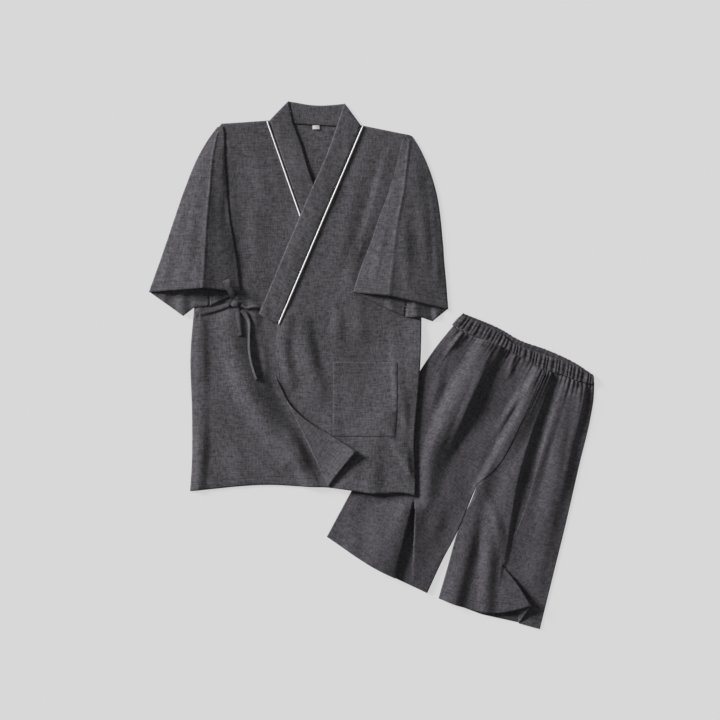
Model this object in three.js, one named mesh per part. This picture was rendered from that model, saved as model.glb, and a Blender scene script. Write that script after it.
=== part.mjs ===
// Jinbei set laid flat: a short wrapped jacket with wide half sleeves, and gathered shorts whose one leg
// lies under the jacket's corner. Every piece that is cut and sewn on is a closed wall of cloth.
//
// Millimetres. The set lies on z = 0 with +Z up. +Y runs from the jacket's hem to its collar.
// The fronts face up, so the wearer's left is on +X and the wearer's right on -X.
import * as THREE from 'three';

const { lerp, smoothstep } = THREE.MathUtils;

// ---------------------------------------------------------------------------------------------------
// Driving sizes
// ---------------------------------------------------------------------------------------------------
const WALL = 1.2; // one layer of cloth
const BAND = 1.8; // a folded band: collar and waistband
const SEAM = 0.3; // clearance where two pieces are sewn together
const AIR = 1.2; // air between layers that only lie on each other

const LEG_LOFT = 8.6; // how far the shorts' leg lifts the jacket that lies on it
const LEG_RAMP = 85; // over this width the jacket climbs on to the leg
const OVERLAP_RAMP = 66; // over this width the outer front climbs on to the inner front
const SIDE_SOFTENING = 14; // a panel leaves its side seam over this width

const NECK_ALLOWANCE = 8; // the fronts run on under the collar by this much
const COLLAR_END_Y = 60; // the inner front's collar stops above this height
const PIPING_RADIUS = 1.7;
const TURN_RADIUS = 3.0; // roll of the turned-back front corner
const TURN_LIFT = 9; // height of the turned corner's tip above its fold
const TURN_REACH = 86; // from the fold to that tip
const SLEEVE_ROLL = 1.6; // roll of the sleeve's two edge folds
const SLEEVE_FOOT = 26; // the sleeve's back layer drops off the jacket's side over this width
const TIE_WIDTH = 10;
const LAP = 1.1; // what lies flat on a panel is this far above it, more than the panel's facets stray

const CLOTH = { color: 0x59575d, roughness: 0.92, metalness: 0 };
const WHITE = { color: 0xf1f0ee, roughness: 0.7, metalness: 0 };

// Rows of numbers become objects with named columns.
function table(columns, rows) {
  return rows.map((row) => Object.fromEntries(columns.map((name, index) => [name, row[index]])));
}

// ---------------------------------------------------------------------------------------------------
// Outlines of the jacket, each from shoulder to hem or from -X to +X
// ---------------------------------------------------------------------------------------------------
const RIGHT_SIDE = table(['x', 'y'], [
  [-326, 494],
  [-375, 102],
  [-381, 25],
  [-378, -99],
  [-379, -222],
  [-382, -265],
]);

const LEFT_SIDE = table(['x', 'y'], [
  [80, 483],
  [104, 93],
  [101, -6],
  [96, -71],
  [88.6, -168],
  [91, -240],
  [90, -274],
]);

const SHOULDERS = table(['x', 'y'], [
  [-326, 494],
  [-316, 507],
  [-215.5, 514],
  [-164.5, 509],
  [-73.5, 503.5],
  [-23, 504],
  [80, 483],
]);

const HEM = table(['x', 'y'], [
  [-382, -265],
  [-211.5, -252],
  [-134, -256],
  [-90, -257.5],
  [-46, -263],
  [7, -270],
  [69.5, -269],
  [90, -274],
]);

// Neckline seams, where piping and collar meet the fronts, and the free front edges below them.
const INNER_NECKLINE = table(['x', 'y'], [
  [-215.5, 514],
  [-148, 318],
  [-60, 63],
]);
const INNER_FRONT_FOOT = { x: -60, y: -261 };

const OUTER_NECKLINE = table(['x', 'y'], [
  [-23, 504],
  [-197.6, 86.7],
]);
const OUTER_FRONT_EDGE = table(['x', 'y'], [
  [-202, 73.5],
  [-205, 6],
  [-201, -34],
  [-183, -76],
  [-188, -256.5],
]);

// The outer front's lower corner is turned back over this line.
const TURN_LINE = table(['x', 'y'], [
  [-181, -71],
  [-90, -257.5],
]);

// Outer edge of the shorts' leg that lies under the jacket, from the waist to the hem.
const RIGHT_LEG_OUTSIDE = table(['x', 'y'], [
  [171, 83],
  [153.5, 61],
  [131, 32],
  [102.7, -10],
  [-45, -269],
  [-94.5, -361],
]);

// ---------------------------------------------------------------------------------------------------
// Plane geometry
// ---------------------------------------------------------------------------------------------------
const corner = ({ x, y }) => new THREE.Vector3(x, y, 0);

// A path of straight stretches through a table's points, travelled by length.
function straight(points) {
  const path = new THREE.CurvePath();
  for (let i = 1; i < points.length; i += 1) {
    path.add(new THREE.LineCurve3(corner(points[i - 1]), corner(points[i])));
  }
  return (u) => path.getPoint(u);
}

// A four-sided piece between its edges: s runs from left to right, t from top to bottom.
function patch({ top, bottom, left, right }) {
  const [topLeft, topRight] = [top(0), top(1)];
  const [bottomLeft, bottomRight] = [bottom(0), bottom(1)];
  return (s, t) => {
    const across = left(t).lerp(right(t), s);
    const down = top(s).lerp(bottom(s), t);
    const upperCorners = topLeft.clone().lerp(topRight, s);
    const lowerCorners = bottomLeft.clone().lerp(bottomRight, s);
    return across.add(down).sub(upperCorners.lerp(lowerCorners, t));
  };
}

// The nearest place on a line of points: how far along it is (0 to 1), and the distance, positive on the
// right-hand side of someone walking from its first point to its last.
function nearest(points, x, y) {
  let best = { distance: Infinity, along: 0 };
  for (let i = 1; i < points.length; i += 1) {
    const [from, to] = [points[i - 1], points[i]];
    const [runX, runY] = [to.x - from.x, to.y - from.y];
    const share = ((x - from.x) * runX + (y - from.y) * runY) / (runX * runX + runY * runY);
    const held = Math.min(1, Math.max(0, share));
    const [offX, offY] = [x - from.x - held * runX, y - from.y - held * runY];
    const distance = Math.hypot(offX, offY);
    if (distance < Math.abs(best.distance)) {
      const side = Math.sign(runY * offX - runX * offY) || 1;
      best = { distance: side * distance, along: (i - 1 + held) / (points.length - 1) };
    }
  }
  return best;
}

// Height that a table of folds gives at a point. A fold runs from x0,y0 past x1,y1 to x2,y2, rises from
// start over middle to end, and dies away over its width on either hand.
const FOLD_COLUMNS = ['x0', 'y0', 'x1', 'y1', 'x2', 'y2', 'start', 'middle', 'end', 'left', 'right'];

function relief(folds, x, y) {
  let height = 0;
  for (const fold of folds) {
    const path = [
      { x: fold.x0, y: fold.y0 },
      { x: fold.x1, y: fold.y1 },
      { x: fold.x2, y: fold.y2 },
    ];
    const { distance, along } = nearest(path, x, y);
    const width = distance < 0 ? fold.left : fold.right;
    const away = Math.min(1, Math.abs(distance) / width);
    const rise = along < 0.5
      ? lerp(fold.start, fold.middle, along * 2)
      : lerp(fold.middle, fold.end, along * 2 - 1);
    height += rise * 0.5 * (1 + Math.cos(Math.PI * away));
  }
  return height;
}

// ---------------------------------------------------------------------------------------------------
// Solids
// ---------------------------------------------------------------------------------------------------

// Closes two like grids of points into one wall. A ring joins its last row to its first.
function wall(outer, inner, ring = false) {
  const rows = outer.length;
  const columns = outer[0].length;
  const points = [...outer.flat(), ...inner.flat()];
  const outerAt = (i, j) => (i % rows) * columns + j;
  const innerAt = (i, j) => rows * columns + outerAt(i, j);
  const faces = [];
  const quad = (a, b, c, d) => faces.push([a, b, c], [a, c, d]);
  const lastRow = ring ? rows : rows - 1;
  for (let i = 0; i < lastRow; i += 1) {
    for (let j = 0; j < columns - 1; j += 1) {
      quad(outerAt(i, j), outerAt(i + 1, j), outerAt(i + 1, j + 1), outerAt(i, j + 1));
      quad(innerAt(i, j), innerAt(i, j + 1), innerAt(i + 1, j + 1), innerAt(i + 1, j));
    }
    quad(outerAt(i, 0), innerAt(i, 0), innerAt(i + 1, 0), outerAt(i + 1, 0));
    const j = columns - 1;
    quad(outerAt(i, j), outerAt(i + 1, j), innerAt(i + 1, j), innerAt(i, j));
  }
  for (let j = 0; j < columns - 1 && !ring; j += 1) {
    quad(outerAt(0, j), outerAt(0, j + 1), innerAt(0, j + 1), innerAt(0, j));
    const i = rows - 1;
    quad(outerAt(i, j), innerAt(i, j), innerAt(i, j + 1), outerAt(i, j + 1));
  }
  return solidOf(points, faces);
}

// A geometry from points and faces, turned so that its faces point out.
function solidOf(points, faces) {
  let volume = 0;
  for (const [a, b, c] of faces) {
    volume += points[a].dot(points[b].clone().cross(points[c]));
  }
  const outward = volume > 0 ? faces : faces.map(([a, b, c]) => [a, c, b]);
  const geometry = new THREE.BufferGeometry();
  geometry.setFromPoints(points);
  geometry.setIndex(outward.flat());
  geometry.computeVertexNormals();
  return geometry;
}

function range(count, make) {
  return Array.from({ length: count }, (_, index) => make(index));
}

// A wall that lies on its bed: the grid gives plan points, and bed gives the height of its underside.
function laid(grid, bed, thickness = WALL) {
  const under = grid.map((row) => row.map((p) => new THREE.Vector3(p.x, p.y, bed(p.x, p.y, p.s, p.t))));
  const over = under.map((row) => row.map((p) => new THREE.Vector3(p.x, p.y, p.z + thickness)));
  return wall(over, under);
}

// Plan points of a patch, remembering how far across and down the piece each one is. spread sets how the
// columns are shared out across it.
function gridOf(place, columns, rows, spread = (s) => s) {
  return range(rows + 1, (i) => range(columns + 1, (j) => {
    const [s, t] = [spread(j / columns), i / rows];
    return Object.assign(place(s, t), { s, t });
  }));
}

// A wall of even thickness about a middle surface that may roll over on itself.
function rolled(middle, thickness, ring = false) {
  const rows = middle.length;
  const columns = middle[0].length;
  const rowAt = (i) => (ring ? middle[(i + rows) % rows] : middle[Math.min(rows - 1, Math.max(0, i))]);
  const halves = middle.map((row, i) => row.map((p, j) => {
    const down = rowAt(i + 1)[j].clone().sub(rowAt(i - 1)[j]);
    const across = row[Math.min(columns - 1, j + 1)].clone().sub(row[Math.max(0, j - 1)]);
    return down.cross(across).normalize().multiplyScalar(thickness / 2);
  }));
  const outer = middle.map((row, i) => row.map((p, j) => p.clone().add(halves[i][j])));
  const inner = middle.map((row, i) => row.map((p, j) => p.clone().sub(halves[i][j])));
  return wall(outer, inner, ring);
}

const set = new THREE.Group();

function piece(name, geometry, finish = CLOTH) {
  const mesh = new THREE.Mesh(geometry, new THREE.MeshStandardMaterial(finish));
  mesh.name = name;
  set.add(mesh);
  return mesh;
}

// ---------------------------------------------------------------------------------------------------
// Beds: the height on which each layer of the jacket lies
// ---------------------------------------------------------------------------------------------------
const JACKET_ROWS = 18;

// The jacket's back lies on the floor and climbs on to the shorts' leg at its lower left corner.
function backBed(x, y) {
  const inside = -nearest(RIGHT_LEG_OUTSIDE, x, y).distance;
  return LEG_LOFT * smoothstep(inside, -LEG_RAMP - 4, -4);
}

// The outer front's edge, from the neck to the hem. The inner front's fold dies away up to it.
const OUTER_EDGE = table(['x', 'y'], [
  [-23, 504],
  [-197.6, 86.7],
  [-203, 40],
  [-201, -34],
  [-181, -71],
  [-90, -257.5],
  [-60, -320],
]);

const INNER_FRONT_FOLDS = table(FOLD_COLUMNS, [
  [-296, 88, -262, -30, -158, -186, 7.0, 13.0, 9.0, 44, 36],
]);

function innerFrontBed(x, y) {
  const side = Math.min(1, Math.abs(nearest(RIGHT_SIDE, x, y).distance) / SIDE_SOFTENING);
  const shown = smoothstep(nearest(OUTER_EDGE, x, y).distance, 2, 22);
  return backBed(x, y) + WALL + SEAM + side * (AIR + shown * relief(INNER_FRONT_FOLDS, x, y));
}

// The line up to which something lies between the back and the outer front: the inner front's edge,
// moved out by the collar's width where the collar is on it.
const INNER_COLLAR_EDGE = table(['x', 'y'], [
  [-176, 555],
  [-164.4, 508],
  [-122, 381],
  [-18, 103],
  [-58, 40],
  [-58, -300],
]);

const OUTER_FRONT_FOLDS = table(FOLD_COLUMNS, [
  [-172, 60, -182, 20, -168, -24, 0.0, 3.4, 0.0, 18, 16],
  [-150, 62, -126, 6, -104, -62, 0.0, 5.0, 0.0, 22, 26],
]);

function outerFrontBed(x, y) {
  const inside = nearest(INNER_COLLAR_EDGE, x, y).distance;
  const covered = smoothstep(inside, -OVERLAP_RAMP, -2);
  const collar = (BAND + SEAM) * smoothstep(y, COLLAR_END_Y - 45, COLLAR_END_Y + 10);
  const side = Math.min(1, Math.abs(nearest(LEFT_SIDE, x, y).distance) / SIDE_SOFTENING);
  const loose = side * (AIR + relief(OUTER_FRONT_FOLDS, x, y));
  return backBed(x, y) + WALL + SEAM + loose + covered * (WALL + AIR + collar);
}

// ---------------------------------------------------------------------------------------------------
// Jacket body: back, inner front (the wearer's right) and outer front (the wearer's left)
// ---------------------------------------------------------------------------------------------------
function jacketBack() {
  const place = patch({
    top: straight(SHOULDERS),
    bottom: straight(HEM),
    left: straight(RIGHT_SIDE),
    right: straight(LEFT_SIDE),
  });
  // The first 7 of 20 columns cover the half that lies flat, and 13 the half that climbs on to the leg.
  const spread = (s) => (s < 0.35 ? s / 0.7 : lerp(0.5, 1, (s - 0.35) / 0.65));
  piece('jacket_back', laid(gridOf(place, 20, JACKET_ROWS, spread), backBed));
}

function innerFront() {
  const neck = INNER_NECKLINE.map(({ x, y }) => ({ x: x + NECK_ALLOWANCE, y }));
  const place = patch({
    top: straight([SHOULDERS[0], SHOULDERS[1], neck[0]]),
    bottom: straight([...HEM.slice(0, 4), INNER_FRONT_FOOT]),
    left: straight(RIGHT_SIDE),
    right: straight([...neck.slice(0, 2), { x: INNER_FRONT_FOOT.x, y: 63 }, INNER_FRONT_FOOT]),
  });
  piece('jacket_right_front', laid(gridOf(place, 15, JACKET_ROWS), innerFrontBed));
}

// Carries a point of the outer front over the turn line. height is the point's place in the wall.
function turned(x, y, height) {
  const [from, to] = TURN_LINE;
  const length = Math.hypot(to.x - from.x, to.y - from.y);
  const [alongX, alongY] = [(to.x - from.x) / length, (to.y - from.y) / length];
  const [outX, outY] = [alongY, -alongX];
  const beyond = (x - from.x) * outX + (y - from.y) * outY;
  const travelled = beyond + TURN_RADIUS;
  if (travelled <= 0) {
    return new THREE.Vector3(x, y, outerFrontBed(x, y) + height);
  }
  const angle = Math.min(Math.PI, travelled / TURN_RADIUS);
  const past = Math.max(0, travelled - Math.PI * TURN_RADIUS);
  const radius = TURN_RADIUS - height;
  const outward = -TURN_RADIUS + radius * Math.sin(angle) - past;
  const lift = TURN_LIFT * (past / TURN_REACH) ** 1.5;
  const rise = TURN_RADIUS - radius * Math.cos(angle) + lift;
  const [overX, overY] = [x + (outward - beyond) * outX, y + (outward - beyond) * outY];
  return new THREE.Vector3(overX, overY, outerFrontBed(overX, overY) + rise);
}

// How far across the outer front's row the turn line crosses it, from the front edge.
function turnShare(edge, side) {
  const signed = (p) => {
    const [from, to] = TURN_LINE;
    return (p.x - from.x) * (to.y - from.y) - (p.y - from.y) * (to.x - from.x);
  };
  const [atEdge, atSide] = [signed(edge), signed(side)];
  return atEdge / (atEdge - atSide);
}

function outerFront() {
  const [neckTop, neckEnd] = OUTER_NECKLINE;
  const place = patch({
    top: straight([{ x: neckTop.x - NECK_ALLOWANCE, y: neckTop.y }, SHOULDERS[6]]),
    bottom: straight([OUTER_FRONT_EDGE[4], ...HEM.slice(3)]),
    left: straight([
      { x: neckTop.x - NECK_ALLOWANCE, y: neckTop.y },
      { x: neckEnd.x - 4, y: neckEnd.y },
      ...OUTER_FRONT_EDGE,
    ]),
    right: straight(LEFT_SIDE),
  });
  const TURNED_COLUMNS = 4;
  const ROLL_COLUMNS = 4;
  const FLAT_COLUMNS = 18;
  const NARROWEST = 10; // the turned columns keep this width above the turn
  const rows = range(JACKET_ROWS + 1, (i) => {
    const t = i / JACKET_ROWS;
    const [edge, side] = [place(0, t), place(1, t)];
    const width = edge.distanceTo(side);
    const roll = (Math.PI * TURN_RADIUS * 1.1) / width;
    const turnsAt = Math.max(NARROWEST / width, turnShare(edge, side));
    const rollEnd = turnsAt - (TURN_RADIUS / width) * 0.9 + roll / 3;
    const rollStart = Math.max(rollEnd - roll, rollEnd / 3);
    const shares = [
      ...range(TURNED_COLUMNS, (j) => (rollStart * j) / TURNED_COLUMNS),
      ...range(ROLL_COLUMNS, (j) => lerp(rollStart, rollEnd, j / ROLL_COLUMNS)),
      ...range(FLAT_COLUMNS + 1, (j) => lerp(rollEnd, 1, j / FLAT_COLUMNS)),
    ];
    return shares.map((s) => place(s, t));
  });
  const at = (height) => rows.map((row) => row.map((p) => turned(p.x, p.y, height)));
  piece('jacket_left_front', wall(at(WALL), at(0)));
}

// ---------------------------------------------------------------------------------------------------
// Sleeves
// ---------------------------------------------------------------------------------------------------
// A sleeve is one strip of cloth whose two long edges meet at the underarm seam. Above the underarm they
// part: the back edge is sewn to the jacket's back and the front edge to the front, round the armhole.
// Each row is a section from the shoulder down to the cuff. The front layer runs from the outer fold over
// a pressed crease to the inner fold, which lies on the jacket; the back layer runs underneath. The seam
// column is the armhole seam where lifted is 0 and the underarm seam, up on the jacket, where it is 1.
const SLEEVE_COLUMNS = [
  'outerX', 'outerY', 'creaseX', 'creaseY', 'innerX', 'innerY', 'backY', 'seamX', 'seamY', 'lifted', 'ridge',
];

const RIGHT_SLEEVE = table(SLEEVE_COLUMNS, [
  [-336, 484, -325, 491, -314, 496, 486, -327.6, 487, 0, 7.0],
  [-363, 441, -336, 436, -313, 440, 440, -333.0, 441, 0, 12.0],
  [-392, 372, -340, 372, -305, 372, 368, -342.0, 370, 0, 15.0],
  [-417, 300, -346, 302, -298, 302, 292, -351.4, 296, 0, 16.5],
  [-429, 264, -348, 267, -292, 267, 250, -357.0, 253, 0, 17.5],
  [-436, 244, -349, 247, -289, 247, 226, -360.5, 230, 1, 18.0],
  [-441, 229, -350, 232, -286, 232, 205, -345.0, 212, 1, 18.5],
  [-455, 190, -352, 196, -281, 193, 152, -342.0, 168, 1, 19.5],
  [-468, 153, -353, 161, -277, 153, 103, -340.0, 124, 1, 20.0],
]);

const LEFT_SLEEVE = table(SLEEVE_COLUMNS, [
  [89, 474, 80, 478, 70, 480, 474, 81.6, 474, 0, 7.0],
  [110, 436, 76, 438, 60, 438, 434, 83.6, 435, 0, 11.0],
  [136, 359, 65, 359, 36, 359, 352, 88.6, 354, 0, 14.0],
  [145, 300, 54, 302, 15, 303, 290, 92.4, 292, 0, 15.5],
  [148, 267, 49, 268, 3, 269, 252, 94.8, 254, 0, 16.5],
  [150, 247, 47, 249, -4, 250, 228, 98.5, 232, 1, 17.0],
  [151, 229, 45, 232, -10, 234, 206, 82.0, 210, 1, 17.5],
  [156, 172, 41, 190, -25, 196, 148, 76.0, 157, 1, 18.5],
  [160, 117, 37, 145, -39, 152, 93, 70.0, 102, 1, 19.5],
]);

// Places between the named ones, as shares of the way.
const FOOT_PLACE = 0.2; // the back layer's first bend, from the seam towards the back layer's own height
const FOOT_HEIGHT = 0.8; // the same bend, from the floor up to the seam
const DROP_OFF_SIDE = 0.8; // share of SLEEVE_FOOT that the back layer needs where it drops off the jacket
const DROP_CLEAR = 0.3; // and where it starts clear of the jacket
const OUTER_BOW = 0.54; // height midway from the outer fold to the crease
const INNER_BOW = 0.5; // height midway from the inner fold to the crease

function sleeve(name, stations, side, bodyTop) {
  const outward = Math.sign(stations[0].outerX - stations[0].innerX);
  const half = WALL / 2;
  const point = (x, y, z) => new THREE.Vector3(x, y, z);
  const middle = stations.map((row) => {
    const bed = (x, y) => bodyTop(x, y) + AIR + half;
    const jacketSide = side(row.seamY);
    const seamZ = row.lifted ? bed(row.seamX, row.seamY) : half;
    const onEdge = row.lifted && outward * (row.seamX - jacketSide) < 0;
    const footX = onEdge ? jacketSide + outward * 3 : row.seamX + outward * 4;
    const footZ = onEdge ? bed(jacketSide, row.seamY) : lerp(half, seamZ, FOOT_HEIGHT);
    const drop = SLEEVE_FOOT * (onEdge ? DROP_OFF_SIDE : DROP_CLEAR);
    const innerZ = bed(row.innerX, row.innerY);
    const top = 2 * SLEEVE_ROLL;
    const rollX = outward * SLEEVE_ROLL;
    const frontSeamX = row.lifted ? row.seamX - outward * SEAM : jacketSide;
    return [
      point(row.seamX, row.seamY, seamZ),
      point(footX, lerp(row.seamY, row.backY, FOOT_PLACE), footZ),
      point(footX + outward * drop, row.backY, half),
      point(row.outerX - rollX, row.outerY, half),
      point(row.outerX, row.outerY, half + SLEEVE_ROLL),
      point(row.outerX - rollX, row.outerY, half + top),
      point(
        lerp(row.outerX, row.creaseX, 0.5),
        lerp(row.outerY, row.creaseY, 0.5),
        lerp(half + top, row.ridge, OUTER_BOW),
      ),
      point(row.creaseX, row.creaseY, row.ridge),
      point(
        lerp(row.innerX, row.creaseX, 0.5),
        lerp(row.innerY, row.creaseY, 0.5),
        Math.max(lerp(innerZ + top, row.ridge, INNER_BOW), innerZ + top),
      ),
      point(row.innerX + rollX, row.innerY, innerZ + top),
      point(row.innerX, row.innerY, innerZ + SLEEVE_ROLL),
      point(row.innerX + rollX, row.innerY, innerZ),
      point(frontSeamX, row.seamY, bed(frontSeamX, row.seamY)),
    ];
  });
  piece(name, rolled(middle, WALL));
}

// X of a side seam at a height.
function sideAt(points) {
  return (y) => {
    const upper = points[0];
    const lower = points[1];
    return lerp(upper.x, lower.x, (upper.y - y) / (upper.y - lower.y));
  };
}

// ---------------------------------------------------------------------------------------------------
// Collar: one folded band, from the outer front's end up to the neck, across the back and down the inner
// front. It turns over at each side of the neck, so the back stretch lies underneath, inside face up.
// ---------------------------------------------------------------------------------------------------
const BAND_COLUMNS = ['seamX', 'seamY', 'freeX', 'freeY'];

const OUTER_STRETCH = table(BAND_COLUMNS, [
  [-197.6, 86.7, -237.5, 107],
  [-184.5, 118, -226, 134],
  [-171.7, 148.7, -212.7, 165.9],
  [-155, 188, -196.5, 205],
  [-139.2, 226.3, -180.6, 243.6],
  [-125, 260, -166, 277.5],
  [-110.9, 293.9, -152, 311],
  [-96, 329, -137, 346],
  [-81.5, 364.1, -122, 381],
  [-69.5, 392, -108.5, 410],
  [-57.9, 420.5, -97, 436.8],
  [-44, 453, -84.5, 471],
  [-31, 484.8, -73.5, 502.5],
  [-24.6, 502.6, -58.6, 548.6],
]);

const BACK_STRETCH = table(BAND_COLUMNS, [
  [-24.6, 504.8, -58.6, 548.6],
  [-58, 504.4, -80, 546.5],
  [-98, 505.8, -108, 545],
  [-138, 508.2, -136, 547],
  [-178, 511.4, -158, 551],
  [-214.2, 514.9, -174.6, 553.6],
]);

const INNER_STRETCH = table(BAND_COLUMNS, [
  [-214.2, 512.8, -174.6, 553.6],
  [-208.2, 492.9, -164.4, 508],
  [-190.2, 440.4, -145.7, 455.7],
  [-176, 399.5, -134, 414],
  [-164.6, 366.3, -122, 381],
  [-148, 318, -105, 333],
  [-124, 248, -79, 264],
  [-96, 167, -50.5, 183],
  [-68.3, 86.6, -22.9, 102.2],
]);

const outerCollarBed = (x, y) => outerFrontBed(x, y) + WALL + LAP;
const innerCollarBed = (x, y) => innerFrontBed(x, y) + WALL + LAP;

function collar() {
  const half = BAND / 2;
  const lay = (stretch, bed) => stretch.map((row) => range(3, (j) => {
    const x = lerp(row.seamX, row.freeX, j / 2);
    const y = lerp(row.seamY, row.freeY, j / 2);
    return new THREE.Vector3(x, y, bed(x, y) + half);
  }));
  // The roll at a side of the neck, halfway round between the stretch on top and the one underneath.
  const roll = (upper, lower, outwardX, outwardY) => upper.map((p, j) => {
    const radius = (p.z - lower[j].z) / 2;
    const tip = p.clone().lerp(lower[j], 0.5);
    return tip.add(new THREE.Vector3(outwardX * radius, outwardY * radius, 0));
  });
  const outer = lay(OUTER_STRETCH, outerCollarBed);
  const back = lay(BACK_STRETCH, () => 0);
  const inner = lay(INNER_STRETCH, innerCollarBed);
  const middle = [
    ...outer,
    roll(outer.at(-1), back[0], 0.8, 0.6),
    ...back,
    roll(inner[0], back.at(-1), -0.72, 0.69),
    ...inner,
  ];
  piece('jacket_collar', rolled(middle, BAND));
}

// White piping caught in the neckline seam, lying on the front beside the collar's edge.
const OUTER_PIPING = table(['x', 'y'], [
  [-20, 504],
  [-197.6, 85.6],
]);
const INNER_PIPING = table(['x', 'y'], [
  [-218.2, 513],
  [-138.5, 285],
]);

function piping(name, run, outward, frontTop) {
  const [from, to] = run;
  const aside = PIPING_RADIUS + SEAM;
  const length = Math.hypot(to.x - from.x, to.y - from.y);
  const asideX = (-outward * aside * (to.y - from.y)) / length;
  const asideY = (outward * aside * (to.x - from.x)) / length;
  const points = range(13, (i) => {
    const x = lerp(from.x, to.x, i / 12) + asideX;
    const y = lerp(from.y, to.y, i / 12) + asideY;
    return new THREE.Vector3(x, y, frontTop(x, y) + PIPING_RADIUS + LAP);
  });
  const section = new THREE.Shape().absarc(0, 0, PIPING_RADIUS, 0, 2 * Math.PI);
  const route = new THREE.CatmullRomCurve3(points);
  const geometry = new THREE.ExtrudeGeometry(section, { extrudePath: route, steps: 14, curveSegments: 4 });
  piece(name, geometry, WHITE);
}

// ---------------------------------------------------------------------------------------------------
// Patch pocket, neck label and ties
// ---------------------------------------------------------------------------------------------------
function pocket() {
  const [opening, foot] = [6.3, -149.5];
  const place = patch({
    top: straight([{ x: -81.7, y: opening }, { x: 52.7, y: opening - 1 }]),
    bottom: straight([{ x: -81.7, y: foot }, { x: 48, y: foot - 1 }]),
    left: straight([{ x: -81.7, y: opening }, { x: -81.7, y: foot }]),
    right: straight([{ x: 52.7, y: opening - 1 }, { x: 52, y: foot + 40 }, { x: 48, y: foot - 1 }]),
  });
  piece('jacket_pocket', laid(gridOf(place, 9, 9), (x, y) => outerFrontBed(x, y) + WALL + LAP));
}

function label() {
  const [left, right, top, foot] = [-125, -108.6, 503.6, 493.8];
  const place = patch({
    top: straight([{ x: left, y: top }, { x: right, y: top }]),
    bottom: straight([{ x: left, y: foot }, { x: right, y: foot }]),
    left: straight([{ x: left, y: top }, { x: left, y: foot }]),
    right: straight([{ x: right, y: top }, { x: right, y: foot }]),
  });
  piece('jacket_neck_label', laid(gridOf(place, 2, 1), () => WALL + SEAM, 1.0), WHITE);
}

// A tie's stretch: each row is a place on its middle line, its height above the inner front, its width and
// its tilt in degrees. heading fixes the direction across it, for a stretch that doubles back.
const TIE_COLUMNS = ['x', 'y', 'lift', 'width', 'tilt'];

const SIDE_TIE = table(TIE_COLUMNS, [
  [-371, 105, 1.2, TIE_WIDTH, 0],
  [-352, 111, 1.2, TIE_WIDTH, 0],
  [-326, 119, 1.4, TIE_WIDTH, 0],
  [-299.5, 127, 4.0, TIE_WIDTH, 0],
]);
const TIE_LOOP = table(TIE_COLUMNS, [
  [-290.5, 139.5, 4.6, 11, 0],
  [-294, 150, 10.2, 13, 0],
  [-299, 163, 12.6, 15, 0],
  [-303.5, 175, 13.9, 15, 0],
  [-304.6, 177.6, 15.5, 15, 0],
  [-303.0, 174, 17.1, 15, 0],
  [-298, 160, 16.0, 14, 0],
  [-293, 148, 13.4, 12, 0],
  [-290.5, 139.5, 8.0, 11, 0],
]);
const LOOP_HEADING = Math.atan2(15, 36);
const SHORT_TAIL = table(TIE_COLUMNS, [
  [-284, 119.5, 3.2, 9, 0],
  [-281, 104, 1.6, TIE_WIDTH, 0],
  [-278.5, 82, 1.2, TIE_WIDTH, 0],
  [-277, 61, 1.2, TIE_WIDTH, 0],
]);
const FRONT_TIE = table(TIE_COLUMNS, [
  [-216, 117, 2.2, 7, 0],
  [-233, 121, 2.6, 7, 20],
  [-247, 124, 3.2, 7, 30],
  [-262, 121.5, 4.4, 7, 20],
  [-273.5, 126, 5.4, 7, 0],
]);
const LONG_TAIL = table(TIE_COLUMNS, [
  [-273.5, 115, 4.4, TIE_WIDTH, 0],
  [-264, 102, 4.4, TIE_WIDTH, 20],
  [-258, 86, 6.2, TIE_WIDTH, 50],
  [-258, 60, 6.4, TIE_WIDTH, 60],
  [-258, 36, 6.2, TIE_WIDTH, 60],
  [-253.5, 5, 5.8, TIE_WIDTH, 60],
  [-242, -31, 5.6, TIE_WIDTH, 60],
]);

function tie(name, rows, heading) {
  const at = rows.map(({ x, y, lift }) => new THREE.Vector3(x, y, innerFrontBed(x, y) + WALL + lift));
  const middle = rows.map((row, i) => {
    const [before, after] = [at[Math.max(0, i - 1)], at[Math.min(rows.length - 1, i + 1)]];
    const across = heading ?? Math.atan2(after.y - before.y, after.x - before.x) + Math.PI / 2;
    const tilt = (row.tilt * Math.PI) / 180;
    const flat = (Math.cos(tilt) * row.width) / 2;
    const rise = (Math.sin(tilt) * row.width) / 2;
    const reach = new THREE.Vector3(Math.cos(across) * flat, Math.sin(across) * flat, rise);
    return [at[i].clone().sub(reach), at[i].clone().add(reach)];
  });
  piece(name, rolled(middle, WALL));
}

function knot() {
  const centre = { x: -286.5, y: 128.5 };
  const reach = { x: 11, y: 8.5, z: 4.4 };
  const lump = new THREE.SphereGeometry(1, 12, 8);
  lump.scale(reach.x, reach.y, reach.z);
  const height = innerFrontBed(centre.x, centre.y) + WALL + SEAM + reach.z;
  piece('jacket_tie_knot', lump).position.set(centre.x, centre.y, height);
}

// ---------------------------------------------------------------------------------------------------
// Shorts: each leg has a front and a back, and a gathered waistband runs all round
// ---------------------------------------------------------------------------------------------------
const SHORTS_PUFF = 2.6; // the fronts stand off the backs by this much
const WAIST_STEP = 0.6; // the legs start this far below the waistband
const BAND_FRONT_Z = 6.0;

const FRONT_WAIST = table(['x', 'y'], [
  [169, 78],
  [204, 62],
  [251.4, 48.3],
  [294.2, 27.3],
  [325.7, 8.4],
  [363.5, -13.4],
  [401.3, -21.6],
  [436.2, -36],
  [465.8, -41],
]);
const CENTRE_AT = 5; // the row of FRONT_WAIST where the two legs meet

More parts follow.
